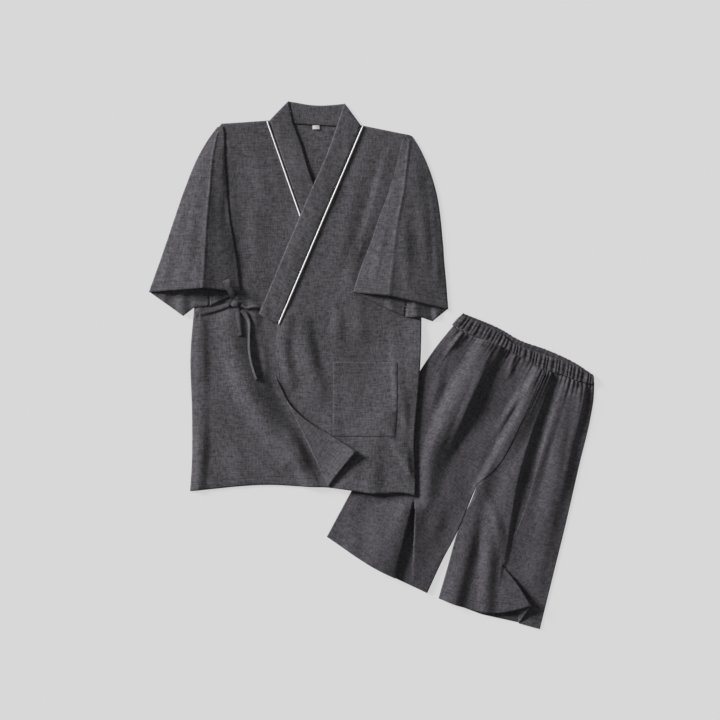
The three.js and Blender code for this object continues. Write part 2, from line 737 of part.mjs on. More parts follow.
const CENTRE_SEAM = table(['x', 'y'], [
  [363.5, -13.4],
  [315.2, -117.6],
  [255.4, -222.6],
  [221, -250.5],
]);
const RIGHT_INSEAM = table(['x', 'y'], [
  [172.5, -364],
  [150.6, -405],
  [116, -479],
]);
const LEFT_INSEAM = table(['x', 'y'], [
  [216.3, -266],
  [183.8, -340],
  [159.5, -424.2],
  [140.5, -490],
]);
const LEFT_LEG_OUTSIDE = table(['x', 'y'], [
  [465.8, -41],
  [465.6, -73],
  [458, -118],
  [437, -205],
  [405.5, -342],
  [383, -433],
  [353, -555],
]);
const RIGHT_LEG_HEM = table(['x', 'y'], [
  [-94.5, -361],
  [-6, -419],
  [116, -479],
]);
// The left leg's front hem is lifted clear of the floor and shows the back's hem below it.
const LEFT_FRONT_HEM = table(['x', 'y'], [
  [140.5, -490],
  [186, -507],
  [229, -518],
  [293, -516],
  [331, -508],
  [353, -555],
]);
const LEFT_BACK_HEM = table(['x', 'y'], [
  [140.5, -490],
  [231, -524],
  [308.5, -541],
  [353, -555],
]);

const SHORTS_FOLDS = table(FOLD_COLUMNS, [
  [233, 20, 120, -190, 8, -444, 0.0, 12.0, 12.0, 54, 22],
  [92, -262, 57, -350, 8, -444, 0.0, 6.0, 9.0, 60, 92],
  [260, 10, 214, -66, 160, -186, 0.0, 10.0, 0.0, 20, 50],
  [346, -30, 298, -122, 222, -264, 0.0, 13.0, 5.0, 42, 18],
  [368, -50, 312, -210, 276, -414, 0.0, 13.0, 3.0, 18, 58],
  [412, -60, 388, -229, 340, -460, 0.0, 10.0, 0.0, 32, 36],
  [214, -290, 200, -380, 172, -500, 0.0, 8.0, 8.0, 28, 44],
  [252, -280, 245, -390, 238, -530, 0.0, 9.4, 7.4, 20, 22],
]);
// The jacket's edges that lie on the shorts. The shorts' folds die away up to them.
const JACKET_OVER_SHORTS = table(['x', 'y'], [
  [104, 93],
  [101, -6],
  [96, -71],
  [88.6, -168],
  [91, -240],
  [90, -274],
  [7, -270],
  [-46, -263],
  [-134, -256],
]);
const FOLD_FADE = 36; // over this width

function shortsFrontBed(x, y) {
  const reach = Math.min(
    Math.abs(nearest(RIGHT_LEG_OUTSIDE, x, y).distance),
    Math.abs(nearest(LEFT_LEG_OUTSIDE, x, y).distance),
  );
  const loose = Math.min(1, reach / 25);
  const bare = smoothstep(-nearest(JACKET_OVER_SHORTS, x, y).distance, 2, FOLD_FADE);
  return WALL + SEAM + loose * (SHORTS_PUFF + bare * relief(SHORTS_FOLDS, x, y));
}

const shifted = (points, dx, dy) => points.map(({ x, y }) => ({ x: x + dx, y: y + dy }));

function leg(side, layer) {
  const front = layer === 'front';
  const waist = shifted(FRONT_WAIST, 0, -WAIST_STEP);
  const aside = side === 'right' ? -SEAM / 2 : SEAM / 2;
  const seamTop = { x: waist[CENTRE_AT].x + aside, y: waist[CENTRE_AT].y };
  const inseam = side === 'right' ? RIGHT_INSEAM : LEFT_INSEAM;
  const inner = straight([seamTop, ...shifted(CENTRE_SEAM.slice(1), aside, 0), ...inseam]);
  const outerPoints = side === 'right' ? RIGHT_LEG_OUTSIDE : LEFT_LEG_OUTSIDE;
  const leftHem = front ? LEFT_FRONT_HEM : LEFT_BACK_HEM;
  const place = side === 'right'
    ? patch({
      top: straight([...waist.slice(0, CENTRE_AT), seamTop]),
      bottom: straight(RIGHT_LEG_HEM),
      left: straight([waist[0], ...outerPoints.slice(1)]),
      right: inner,
    })
    : patch({
      top: straight([seamTop, ...waist.slice(CENTRE_AT + 1)]),
      bottom: straight(leftHem),
      left: inner,
      right: straight([waist.at(-1), ...outerPoints.slice(1)]),
    });
  const [columns, rows] = front ? [18, 17] : [3, 12];
  const bed = front ? shortsFrontBed : () => 0;
  piece(`shorts_${side}_leg_${layer}`, laid(gridOf(place, columns, rows), bed));
}

// The waistband's two runs. top is the edge at the waist and foot the edge sewn to the legs.
const WAIST_COLUMNS = ['topX', 'topY', 'footX', 'footY'];
const WAIST_FRONT = table(WAIST_COLUMNS, [
  [191.5, 105, 171, 82],
  [229.1, 86.1, 215, 61.2],
  [273.2, 65.1, 262, 43.8],
  [294.2, 46.8, 290, 30.0],
  [321.5, 35.7, 318, 13.7],
  [361.6, 21, 356, -8.5],
  [401.3, 9.2, 398, -20.2],
  [436.2, -6.3, 432, -33.6],
  [464, -24, 463, -40],
]);
const WAIST_BACK = table(WAIST_COLUMNS, [
  [464, -21, 462, -39.6],
  [430, 2.1, 424, -27],
  [369.8, 30.7, 360, 9],
  [306.8, 53.6, 297, 32],
  [273.2, 73.5, 263, 52],
  [192.5, 108, 172, 85],
]);

function waistband() {
  const lay = (run, z) => run.map((row) => range(3, (j) => new THREE.Vector3(
    lerp(row.topX, row.footX, j / 2),
    lerp(row.topY, row.footY, j / 2),
    z,
  )));
  const front = lay(WAIST_FRONT, BAND_FRONT_Z);
  const back = lay(WAIST_BACK, BAND / 2);
  const turn = (upper, lower, outward) => upper.map((p, j) => {
    const radius = (p.z - lower[j].z) / 2;
    const tip = p.clone().lerp(lower[j], 0.5);
    return tip.add(new THREE.Vector3(outward * radius * 0.9, -outward * radius * 0.43, 0));
  });
  const middle = [...front, turn(front.at(-1), back[0], 1), ...back, turn(front[0], back.at(-1), -1)];
  piece('shorts_waistband', rolled(middle, BAND, true));
}

// ---------------------------------------------------------------------------------------------------
// The set
// ---------------------------------------------------------------------------------------------------
jacketBack();
innerFront();
outerFront();
sleeve('jacket_right_sleeve', RIGHT_SLEEVE, sideAt(RIGHT_SIDE), (x, y) => innerFrontBed(x, y) + WALL);
sleeve('jacket_left_sleeve', LEFT_SLEEVE, sideAt(LEFT_SIDE), (x, y) => outerFrontBed(x, y) + WALL);
collar();
piping('jacket_left_piping', OUTER_PIPING, 1, (x, y) => outerFrontBed(x, y) + WALL);
piping('jacket_right_piping', INNER_PIPING, -1, (x, y) => innerFrontBed(x, y) + WALL);
pocket();
label();
tie('jacket_side_tie', SIDE_TIE);
tie('jacket_side_tie_loop', TIE_LOOP, LOOP_HEADING);
tie('jacket_side_tie_tail', SHORT_TAIL);
tie('jacket_front_tie', FRONT_TIE);
tie('jacket_front_tie_tail', LONG_TAIL);
knot();
for (const side of ['right', 'left']) {
  leg(side, 'back');
  leg(side, 'front');
}
waistband();

export default set;
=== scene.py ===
import math

import bpy
import numpy as np
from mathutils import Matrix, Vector


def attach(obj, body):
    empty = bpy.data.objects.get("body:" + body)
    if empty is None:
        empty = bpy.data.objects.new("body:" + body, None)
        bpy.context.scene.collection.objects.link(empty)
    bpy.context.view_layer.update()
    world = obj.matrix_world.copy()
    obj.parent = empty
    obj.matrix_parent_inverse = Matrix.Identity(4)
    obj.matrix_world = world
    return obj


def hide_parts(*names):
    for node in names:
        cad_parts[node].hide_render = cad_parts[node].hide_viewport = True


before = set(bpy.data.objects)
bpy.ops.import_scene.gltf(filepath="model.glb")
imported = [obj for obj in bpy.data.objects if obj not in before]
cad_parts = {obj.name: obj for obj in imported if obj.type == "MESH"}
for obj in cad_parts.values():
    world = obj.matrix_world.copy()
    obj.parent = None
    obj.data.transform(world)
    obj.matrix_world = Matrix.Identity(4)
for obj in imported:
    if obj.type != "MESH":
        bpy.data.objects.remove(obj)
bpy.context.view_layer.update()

# Jinbei set laid flat. Lengths are in millimetres until a mesh is made, in the frame of the CAD model: the
# set lies on z = 0, +Y runs from hem to collar and the wearer's left is on +X.
MM = 0.001

# ------------------------------------------------------------------------------------------------------
# Driving sizes, as in the CAD model
# ------------------------------------------------------------------------------------------------------
WALL = 1.2  # the CAD model's layer of cloth, for which the beds leave room
CLOTH = 0.8  # the layer of cloth drawn here
BAND = 1.8  # the folded collar and waistband
SEAM = 0.3  # clearance where two pieces are sewn together
AIR = 0.7  # air between layers that only lie on each other
LEG_LOFT = 8.6  # how far the shorts' leg lifts the jacket that lies on it
LEG_RAMP = 85  # over this width the jacket climbs on to the leg
OVERLAP_RAMP = 66  # over this width the outer front climbs on to the inner front
SIDE_SOFTENING = 14  # a panel leaves its side seam over this width
NECK_ALLOWANCE = 8  # the fronts run on under the collar by this much
COLLAR_END_Y = 60  # the inner front's collar stops above this height
PIPING_RADIUS = 1.7
TURN_RADIUS = 3.0  # roll of the turned-back front corner
TURN_LIFT = 9  # height of the turned corner's tip above its fold
TURN_REACH = 86  # from the fold to that tip
SLEEVE_ROLL = 1.6  # roll of the sleeve's outer fold
SLEEVE_FOOT = 26  # the sleeve's back layer drops off the jacket's side over this width
INNER_LIFT = 0.2  # the sleeve's inner fold lies this far above the layer of air under it
INNER_ROLL = 0.5  # roll of that fold, flatter than the outer one
OUTER_BOW = 0.58  # how nearly the sleeve is level with its crease half way out to the outer fold
TIE_WIDTH = 10
HEM = 20  # turned-up hems
HEM_STITCHES = HEM - 2.5
SHORTS_PUFF = 2.6  # air between the shorts' front and back
BAND_FRONT_Z = 6.0  # height of the waistband's front


# ------------------------------------------------------------------------------------------------------
# Curves, distances, folds and ripples
# ------------------------------------------------------------------------------------------------------
def smoothstep(value, low, high):
    share = np.clip((value - low) / (high - low), 0, 1)
    return share * share * (3 - 2 * share)


def smoothed(points, each=12, breaks=()):
    """A smooth curve through points, each stretch cut into `each` steps. The curve may bend sharply at
    the rows named in breaks."""
    p = np.asarray(points, float)
    count = len(p)
    knots = np.concatenate([[0], np.cumsum(np.maximum(np.linalg.norm(np.diff(p, axis=0), axis=1), 1e-6))])
    slope = np.diff(p, axis=0) / np.diff(knots)[:, None]
    before = np.vstack([slope[:1], slope])
    after = np.vstack([slope, slope[-1:]])
    gap = np.diff(knots)
    weight = np.ones((count, 1)) * 0.5
    weight[1:-1, 0] = gap[1:] / (gap[:-1] + gap[1:])
    leave = before * weight + after * (1 - weight)
    arrive = leave.copy()
    for row in breaks:
        arrive[row], leave[row] = before[row], after[row]
    u = np.linspace(0, 1, each, endpoint=False)[:, None]
    out = []
    for i in range(count - 1):
        h = gap[i]
        out.append((2 * u**3 - 3 * u**2 + 1) * p[i] + (u**3 - 2 * u**2 + u) * h * leave[i]
                   + (3 * u**2 - 2 * u**3) * p[i + 1] + (u**3 - u**2) * h * arrive[i + 1])
    return np.vstack([*out, p[-1:]])


class Path:
    """A line through a table's points, travelled by length from 0 to 1."""

    def __init__(self, points, smooth=True, breaks=()):
        self.points = smoothed(points, breaks=breaks) if smooth else np.asarray(points, float)
        steps = np.linalg.norm(np.diff(self.points, axis=0), axis=1)
        self.reach = np.concatenate([[0], np.cumsum(steps)])

    def at(self, share):
        travelled = np.asarray(share) * self.reach[-1]
        return np.stack([np.interp(travelled, self.reach, axis) for axis in self.points.T], axis=-1)


def coons(top, bottom, left, right, s, t):
    """Plan points of a four-sided piece: s runs from left to right, t from top to bottom."""
    s3, t3 = s[..., None], t[..., None]
    across = left.at(t) * (1 - s3) + right.at(t) * s3
    down = top.at(s) * (1 - t3) + bottom.at(s) * t3
    corners = ((top.at(0.0) * (1 - s3) + top.at(1.0) * s3) * (1 - t3)
               + (bottom.at(0.0) * (1 - s3) + bottom.at(1.0) * s3) * t3)
    return across + down - corners


def nearest(points, x, y):
    """Signed distance to a line of points, positive on the right-hand side of someone walking along it,
    and how far along it the nearest place is, from 0 to 1."""
    p = np.asarray(points, float)
    lengths = np.hypot(*np.diff(p, axis=0).T)
    starts = np.concatenate([[0], np.cumsum(lengths)])
    best = np.full(np.shape(x), np.inf)
    along = np.zeros(np.shape(x))
    for i, length in enumerate(lengths):
        run_x, run_y = (p[i + 1] - p[i]) / length
        off_x, off_y = x - p[i, 0], y - p[i, 1]
        held = np.clip(off_x * run_x + off_y * run_y, 0, length)
        gap_x, gap_y = off_x - held * run_x, off_y - held * run_y
        side = np.where(run_y * gap_x - run_x * gap_y >= 0, 1.0, -1.0)
        distance = np.hypot(gap_x, gap_y)
        closer = distance < np.abs(best)
        best = np.where(closer, side * distance, best)
        along = np.where(closer, (starts[i] + held) / starts[-1], along)
    return best, along


# A fold runs past its points, rises (or dips) from start over middle to end, and dies away over its
# width on the left and right hand. Sharpness 1 is a soft roll, and more is a narrower crest.
FOLD_COLUMNS = ("x0", "y0", "x1", "y1", "x2", "y2", "start", "middle", "end", "left", "right", "sharpness")


def table(columns, rows):
    return [dict(zip(columns, row)) for row in rows]


def relief(folds, x, y):
    height = np.zeros(np.shape(x))
    for f in folds:
        route = smoothed([(f["x0"], f["y0"]), (f["x1"], f["y1"]), (f["x2"], f["y2"])], each=5)
        distance, along = nearest(route, x, y)
        width = np.where(distance < 0, f["left"], f["right"])
        away = np.clip(np.abs(distance) / width, 0, 1)
        rise = np.interp(along, (0, 0.5, 1), (f["start"], f["middle"], f["end"]))
        height += rise * (0.5 * (1 + np.cos(np.pi * away))) ** f["sharpness"]
    return height


def ripples(x, y, seed, wave_x, wave_y, waves=18):
    """A smooth random surface about one unit high whose swells are wave_x by wave_y across."""
    dice = np.random.default_rng(seed)
    turn = dice.uniform(0, 2 * np.pi, waves)
    speed = dice.uniform(0.55, 1.35, waves)
    phase = dice.uniform(0, 2 * np.pi, waves)
    out = 0.0
    for a, k, p in zip(turn, speed, phase):
        out = out + np.cos(2 * np.pi * k * (np.cos(a) * x / wave_x + np.sin(a) * y / wave_y) + p)
    return out / math.sqrt(waves)


# ------------------------------------------------------------------------------------------------------
# Outlines
# ------------------------------------------------------------------------------------------------------
RIGHT_SIDE = [(-326, 494), (-375, 102), (-381, 25), (-378, -99), (-379, -222), (-382, -265)]
LEFT_SIDE = [(80, 483), (104, 93), (101, -6), (96, -71), (88.6, -168), (91, -240), (90, -274)]
SHOULDERS = [(-326, 494), (-316, 507), (-215.5, 514), (-164.5, 509), (-73.5, 503.5), (-23, 504), (80, 483)]
JACKET_HEM = [(-382, -265), (-211.5, -252), (-134, -256), (-90, -257.5), (-46, -263), (7, -270),
              (69.5, -269), (90, -274)]
INNER_NECKLINE = [(-215.5, 514), (-148, 318), (-60, 63)]
INNER_FRONT_FOOT = (-60, -261)
OUTER_NECKLINE = [(-23, 504), (-197.6, 86.7)]
OUTER_FRONT_EDGE = [(-202, 73.5), (-205, 6), (-201, -34), (-183, -76), (-188, -256.5)]
TURN_LINE = [(-181, -71), (-90, -257.5)]
RIGHT_LEG_OUTSIDE = [(171, 83), (153.5, 61), (131, 32), (102.7, -10), (-45, -269), (-94.5, -361)]
INNER_COLLAR_EDGE = [(-176, 555), (-164.4, 508), (-122, 381), (-18, 103), (-58, 40), (-58, -300)]


# ------------------------------------------------------------------------------------------------------
# Beds: the height on which each layer of the jacket lies
# ------------------------------------------------------------------------------------------------------
def back_bed(x, y):
    inside = -nearest(RIGHT_LEG_OUTSIDE, x, y)[0]
    return LEG_LOFT * smoothstep(inside, -LEG_RAMP - 4, -4)


def covered_by_outer(x, y):
    return smoothstep(nearest(INNER_COLLAR_EDGE, x, y)[0], -OVERLAP_RAMP, -2)


# The outer front's edge, from the neck down to where its corner is turned back.
OUTER_EDGE_LINE = [*OUTER_NECKLINE, (-203, 40), (-201, -34), *TURN_LINE, (-60, -320)]

INNER_FRONT_FOLDS = table(FOLD_COLUMNS, [
    (-300, 88, -270, -30, -168, -190, 7.0, 15.0, 9.0, 52, 40, 1),
    (-172, -164, -150, -214, -124, -266, 2.0, 7.5, 7.0, 44, 22, 1),
    (-358, 90, -356, 0, -354, -90, 3.0, 4.6, 0.0, 18, 64, 1),
    (-358, -40, -356, -160, -362, -256, 0.0, 4.6, 4.4, 18, 66, 1),
    (-312, 478, -300, 462, -288, 448, 0.0, 1.7, 0.0, 8, 9, 1),
    (-322, 470, -318, 440, -316, 410, 0.0, 1.2, 0.0, 10, 8, 1),
    (-290, -150, -282, -200, -276, -250, 0.6, 1.6, 1.2, 30, 30, 1),
    (-306, 440, -292, 300, -290, 170, 1.4, 2.2, 1.6, 20, 24, 1),
    (-262, 470, -236, 400, -216, 330, 0.6, 2.0, 0.9, 26, 22, 1),
    (-240, 360, -246, 280, -240, 190, 0.6, 1.8, 0.8, 28, 22, 1),
    (-208, 440, -196, 380, -186, 340, 0.4, 1.2, 0.3, 14, 18, 1),
    (-252, 150, -246, 96, -240, 40, 1.0, 3.6, 1.4, 18, 20, 1),
    (-232, 70, -226, 10, -222, -50, 0.6, 2.4, 0.8, 14, 12, 1),
])


def inner_front_bed(x, y):
    side = np.minimum(1, np.abs(nearest(RIGHT_SIDE, x, y)[0]) / SIDE_SOFTENING)
    shown = smoothstep(nearest(OUTER_EDGE_LINE, x, y)[0], 2, 22)
    loose = AIR + shown * (relief(INNER_FRONT_FOLDS, x, y) + 0.55 * ripples(x, y, 11, 80, 120))
    return back_bed(x, y) + WALL + side * np.maximum(0.15, loose)


OUTER_FRONT_FOLDS = table(FOLD_COLUMNS, [
    (-176, 104, -184, 30, -168, -34, 3.6, 6.0, 3.0, 22, 22, 1),
    (-146, 92, -128, 6, -100, -84, 4.0, 7.6, 0.0, 26, 44, 1),
    (-96, -84, -70, -150, -40, -180, 0.0, 2.2, 0.6, 26, 28, 1),
    (-74, 130, -72, 90, -70, 44, 1.0, 3.6, 1.0, 18, 22, 1),
    (-30, 160, -26, 90, -22, 30, 0.4, 2.0, 0.8, 24, 22, 1),
    (24, -120, 56, -180, 84, -226, 0.8, 4.6, 5.2, 34, 14, 1),
    (0, -182, 4, -222, 2, -266, 1.0, 4.0, 3.0, 26, 30, 1),
    (44, 60, 50, -20, 56, -90, 1.4, 3.0, 2.0, 26, 14, 1),
    (66, -60, 70, -110, 66, -160, 1.0, 2.6, 1.0, 14, 14, 1),
    (-20, 420, -44, 320, -66, 220, 1.0, 2.2, 0.8, 30, 30, 1),
    (30, 440, 8, 350, -20, 262, 1.6, 3.4, 2.4, 40, 16, 1),
    (-40, 470, -50, 440, -62, 410, 0.4, 1.4, 0.5, 14, 16, 1),
    (-10, 290, -36, 220, -50, 150, 0.6, 2.4, 1.0, 22, 24, 1),
    (-32, 268, -14, 266, 4, 267, 0.0, 1.0, 0.0, 5, 5, 1),
])


def outer_front_bed(x, y):
    collar = (BAND + SEAM) * smoothstep(y, COLLAR_END_Y - 45, COLLAR_END_Y + 10)
    side = np.minimum(1, np.abs(nearest(LEFT_SIDE, x, y)[0]) / SIDE_SOFTENING)
    loose = AIR + relief(OUTER_FRONT_FOLDS, x, y) + 0.55 * ripples(x, y, 12, 80, 120)
    over = covered_by_outer(x, y) * (WALL + AIR + collar)
    return back_bed(x, y) + WALL + SEAM + side * np.maximum(0.15, loose) + over


# ------------------------------------------------------------------------------------------------------
# Meshes
# ------------------------------------------------------------------------------------------------------
FAR_FROM_STITCHES = 1000.0


def sheet_faces(rows, columns, ring):
    """Quads of the two faces and the rims between two like grids, and which of them are the rims'."""
    ids = np.arange(rows * columns).reshape(rows, columns)
    below = ids + rows * columns
    if ring:
        ids, below = np.vstack([ids, ids[:1]]), np.vstack([below, below[:1]])

    def quads(a, b, c, d):
        return np.stack([a.ravel(), b.ravel(), c.ravel(), d.ravel()], axis=1)

    skin = [quads(ids[:-1, :-1], ids[1:, :-1], ids[1:, 1:], ids[:-1, 1:]),
            quads(below[:-1, :-1], below[:-1, 1:], below[1:, 1:], below[1:, :-1])]
    rim = [quads(ids[:-1, 0], below[:-1, 0], below[1:, 0], ids[1:, 0]),
           quads(ids[:-1, -1], ids[1:, -1], below[1:, -1], below[:-1, -1])]
    if not ring:
        rim += [quads(ids[0, :-1], ids[0, 1:], below[0, 1:], below[0, :-1]),
                quads(ids[-1, :-1], below[-1, :-1], below[-1, 1:], ids[-1, 1:])]
    faces = np.concatenate(skin + rim)
    smooth = np.arange(len(faces)) < sum(len(f) for f in skin)
    return faces, smooth


def facing_out(points, faces):
    """Turns the quads over if their shell is inside out."""
    a, b, c, d = (points[faces[:, i]] for i in range(4))
    volume = np.einsum("ij,ij->", a, np.cross(b, c)) + np.einsum("ij,ij->", a, np.cross(c, d))
    return faces if volume > 0 else faces[:, ::-1]


def cloth_mesh(name, sheets):
    """One mesh of several closed sheets. Each is a dictionary: its two faces as grids of points, the
    place of each point in the weave (along the weft and the warp), its distance to the nearest row of
    stitches, and whether it closes into a ring."""
    all_points, all_faces, all_smooth, all_weave, all_stitch = [], [], [], [], []
    start = 0
    for part in sheets:
        outer, inner = part["outer"], part["inner"]
        rows, columns = outer.shape[:2]
        points = np.concatenate([outer.reshape(-1, 3), inner.reshape(-1, 3)]) * MM
        faces, smooth = sheet_faces(rows, columns, part.get("ring", False))
        stitch = np.broadcast_to(part.get("stitch", FAR_FROM_STITCHES), (rows, columns)).ravel() * MM
        side = np.repeat([0.0, 1.0], rows * columns)
        all_points.append(points)
        all_faces.append(facing_out(points, faces) + start)
        all_smooth.append(smooth)
        all_weave.append(np.column_stack([np.tile(part["weave"].reshape(-1, 2) * MM, (2, 1)), side]))
        all_stitch.append(np.tile(stitch, 2))
        start += len(points)
    points, faces = np.concatenate(all_points), np.concatenate(all_faces)
    mesh = bpy.data.meshes.new(name)
    mesh.vertices.add(len(points))
    mesh.vertices.foreach_set("co", points.ravel())
    mesh.loops.add(faces.size)
    mesh.loops.foreach_set("vertex_index", faces.ravel())
    mesh.polygons.add(len(faces))
    mesh.polygons.foreach_set("loop_start", np.arange(0, faces.size, 4))
    mesh.polygons.foreach_set("use_smooth", np.concatenate(all_smooth))
    weave = mesh.attributes.new("weave", "FLOAT_VECTOR", "POINT")
    weave.data.foreach_set("vector", np.concatenate(all_weave).ravel())
    stitch = mesh.attributes.new("stitch", "FLOAT", "POINT")
    stitch.data.foreach_set("value", np.concatenate(all_stitch))
    mesh.update(calc_edges=True)
    mesh.validate()
    return mesh


def show(name, sheets, material, slot, *nodes):
    obj = bpy.data.objects.new(name, cloth_mesh(name, sheets))
    bpy.context.scene.collection.objects.link(obj)
    obj.data.materials.append(material)
    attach(obj, "root")
    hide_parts(*nodes)
    return obj


def with_height(plan, z):
    return np.concatenate([plan, z[..., None]], axis=-1)


def unit_grid(rows, columns):
    t, s = np.meshgrid(np.linspace(0, 1, rows + 1), np.linspace(0, 1, columns + 1), indexing="ij")
    return s, t


def faces_of(middle, thickness, ring=False):
    """The two faces of a sheet about its middle surface, which may roll over on itself."""
    padded = np.concatenate([middle[-1:], middle, middle[:1]]) if ring else middle
    down = np.gradient(padded, axis=0)
    down = down[1:-1] if ring else down
    normal = np.cross(down, np.gradient(middle, axis=1))
    size = np.linalg.norm(normal, axis=-1, keepdims=True)
    normal = np.where(size > 1e-6, normal / np.maximum(size, 1e-6), (0, 0, 1))
    half = normal * np.broadcast_to(thickness, middle.shape[:2])[..., None] / 2
    return middle + half, middle - half


def run_lengths(points):
    """How far each point of a grid is from the start of its row, and of its column."""
    across = np.linalg.norm(np.diff(points, axis=1), axis=-1).cumsum(axis=1)
    down = np.linalg.norm(np.diff(points, axis=0), axis=-1).cumsum(axis=0)
    return (np.concatenate([np.zeros((len(points), 1)), across], axis=1),
            np.concatenate([np.zeros((1, points.shape[1])), down], axis=0))


def hem_swell(distance, swell=0.55):
    """Extra height of a turned-up hem above its edge, and the groove its row of stitches pulls in."""
    step = 1 - smoothstep(distance, HEM - 1.5, HEM + 2.0)
    groove = np.exp(-((distance - HEM_STITCHES) / 1.6) ** 2)
    return swell * step - 0.45 * groove


# ------------------------------------------------------------------------------------------------------
# Materials
# ------------------------------------------------------------------------------------------------------
class Graph:
    """A material's nodes, written as sums."""

    def __init__(self, name):
        self.material = bpy.data.materials.new(name)
        self.material.use_nodes = True
        self.tree = self.material.node_tree
        self.shader = self.tree.nodes["Principled BSDF"]

    def add(self, kind, **settings):
        node = self.tree.nodes.new(kind)
        for key, value in settings.items():
            setattr(node, key, value)
        return node

    def put(self, socket, value):
        if isinstance(value, bpy.types.NodeSocket):
            self.tree.links.new(value, socket)
        else:
            socket.default_value = value

    def math(self, operation, *values, clamp=False):
        node = self.add("ShaderNodeMath", operation=operation, use_clamp=clamp)
        for socket, value in zip(node.inputs, values):
            self.put(socket, value)
        return node.outputs[0]

    def vector(self, *values):
        node = self.add("ShaderNodeCombineXYZ")
        for socket, value in zip(node.inputs, values):
            self.put(socket, value)
        return node.outputs[0]

    def noise(self, place, detail=2.0, roughness=0.5):
        node = self.add("ShaderNodeTexNoise", noise_dimensions="3D")
        self.put(node.inputs["Vector"], place)
        node.inputs["Scale"].default_value = 1.0
        node.inputs["Detail"].default_value = detail
        node.inputs["Roughness"].default_value = roughness
        return node.outputs["Fac"]

    def attribute(self, name):
        return self.add("ShaderNodeAttribute", attribute_name=name)

    def ramp(self, value, low, high, to_low=0.0, to_high=1.0):
        node = self.add("ShaderNodeMapRange", interpolation_type="SMOOTHSTEP")
        for socket, number in zip(node.inputs, (value, low, high, to_low, to_high)):
            self.put(socket, number)
        return node.outputs[0]

    def mix(self, share, a, b):
        node = self.add("ShaderNodeMix", data_type="RGBA")
        self.put(node.inputs["Factor"], share)
        self.put(node.inputs["A"], a)
        self.put(node.inputs["B"], b)
        return node.outputs["Result"]

    def bump(self, height, distance, strength=1.0, below=None):
        node = self.add("ShaderNodeBump")
        node.inputs["Strength"].default_value = strength
        node.inputs["Distance"].default_value = distance
        self.put(node.inputs["Height"], height)
        if below is not None:
            self.put(node.inputs["Normal"], below)
        return node.outputs["Normal"]


def chambray(name, dark, light, thread_dark):
    """Plain weave of a dark warp and a lighter weft, with slubs in both and a row of stitches where the
    cloth's stitch attribute passes zero."""
    g = Graph(name)
    place = g.attribute("weave").outputs["Vector"]
    split = g.add("ShaderNodeSeparateXYZ")
    g.put(split.inputs[0], place)
    u, v = split.outputs[0], split.outputs[1]

    def scaled(across, along, layer):
        return g.vector(g.math("MULTIPLY", u, across), g.math("MULTIPLY", v, along), layer)

    warp_streaks = g.noise(scaled(330, 95, 1.7), detail=2, roughness=0.55)
    weft_streaks = g.noise(scaled(80, 360, 5.3), detail=2, roughness=0.55)
    flecks = g.noise(scaled(460, 460, 9.1), detail=2, roughness=0.7)
    clouds = g.noise(scaled(13, 9, 3.9), detail=2)
    slubs = g.ramp(g.noise(scaled(40, 700, 12.4), detail=1), 0.62, 0.74)
    pitch = 2 * math.pi / 0.0011
    check = g.math("MULTIPLY", g.math("SINE", g.math("MULTIPLY", u, pitch)),
                   g.math("SINE", g.math("MULTIPLY", v, pitch)))
    streaks = g.math("MULTIPLY_ADD", warp_streaks, 0.9, g.math("MULTIPLY", weft_streaks, 0.9))
    tone = g.math("MULTIPLY_ADD", flecks, 0.8, streaks)
    tone = g.math("MULTIPLY_ADD", clouds, 0.35, tone)
    tone = g.math("MULTIPLY_ADD", check, 0.07, tone)
    tone = g.math("MULTIPLY_ADD", slubs, 0.22, tone)
    share = g.math("MULTIPLY_ADD", g.math("SUBTRACT", tone, 1.5), 1.3, 0.45, clamp=True)
    cloth = g.mix(share, dark, light)
    away = g.math("ABSOLUTE", g.attribute("stitch").outputs["Fac"])
    row = g.ramp(away, 0.0002, 0.0009, 1.0, 0.0)
    dashes = g.ramp(g.math("SINE", g.math("MULTIPLY", g.math("ADD", u, v), 2 * math.pi / 0.003)),
                    -0.75, -0.35, 0.25, 1.0)
    sewn = g.math("MULTIPLY", row, g.math("MULTIPLY", dashes, 0.55))
    g.put(g.shader.inputs["Base Color"], g.mix(sewn, cloth, thread_dark))
    g.put(g.shader.inputs["Roughness"], g.ramp(flecks, 0.3, 0.7, 0.84, 0.98))
    g.shader.inputs["Specular IOR Level"].default_value = 0.25
    g.shader.inputs["Sheen Weight"].default_value = 0.12
    g.shader.inputs["Sheen Roughness"].default_value = 0.5
    g.shader.inputs["Sheen Tint"].default_value = (0.86, 0.85, 0.92, 1)
    sunk = g.ramp(away, 0.0002, 0.0014, -1.0, 0.0)
    threads = g.math("MULTIPLY_ADD", check, 0.35, g.math("ADD", flecks, slubs))
    relief_normal = g.bump(threads, 0.00022, 0.55)
    relief_normal = g.bump(g.math("ADD", g.math("MULTIPLY", streaks, 0.6), sunk), 0.00045, 0.7, relief_normal)
    g.put(g.shader.inputs["Normal"], relief_normal)
    return g.material


def white_cloth(name, colour, shadow):
    """Close white weave, for the piping and the label."""
    g = Graph(name)
    place = g.attribute("weave").outputs["Vector"]
    split = g.add("ShaderNodeSeparateXYZ")
    g.put(split.inputs[0], place)
    u, v = split.outputs[0], split.outputs[1]
    pitch = 2 * math.pi / 0.0009
    twill = g.math("SINE", g.math("MULTIPLY", g.math("ADD", u, v), pitch))
    fuzz = g.noise(g.vector(g.math("MULTIPLY", u, 900), g.math("MULTIPLY", v, 900), 2.0), detail=2)
    share = g.math("MULTIPLY_ADD", twill, 0.12, fuzz, clamp=True)
    g.put(g.shader.inputs["Base Color"], g.mix(share, shadow, colour))
    g.put(g.shader.inputs["Roughness"], g.ramp(fuzz, 0.3, 0.7, 0.6, 0.8))
    g.shader.inputs["Sheen Weight"].default_value = 0.1
    g.put(g.shader.inputs["Normal"], g.bump(share, 0.00008, 0.4))
    return g.material


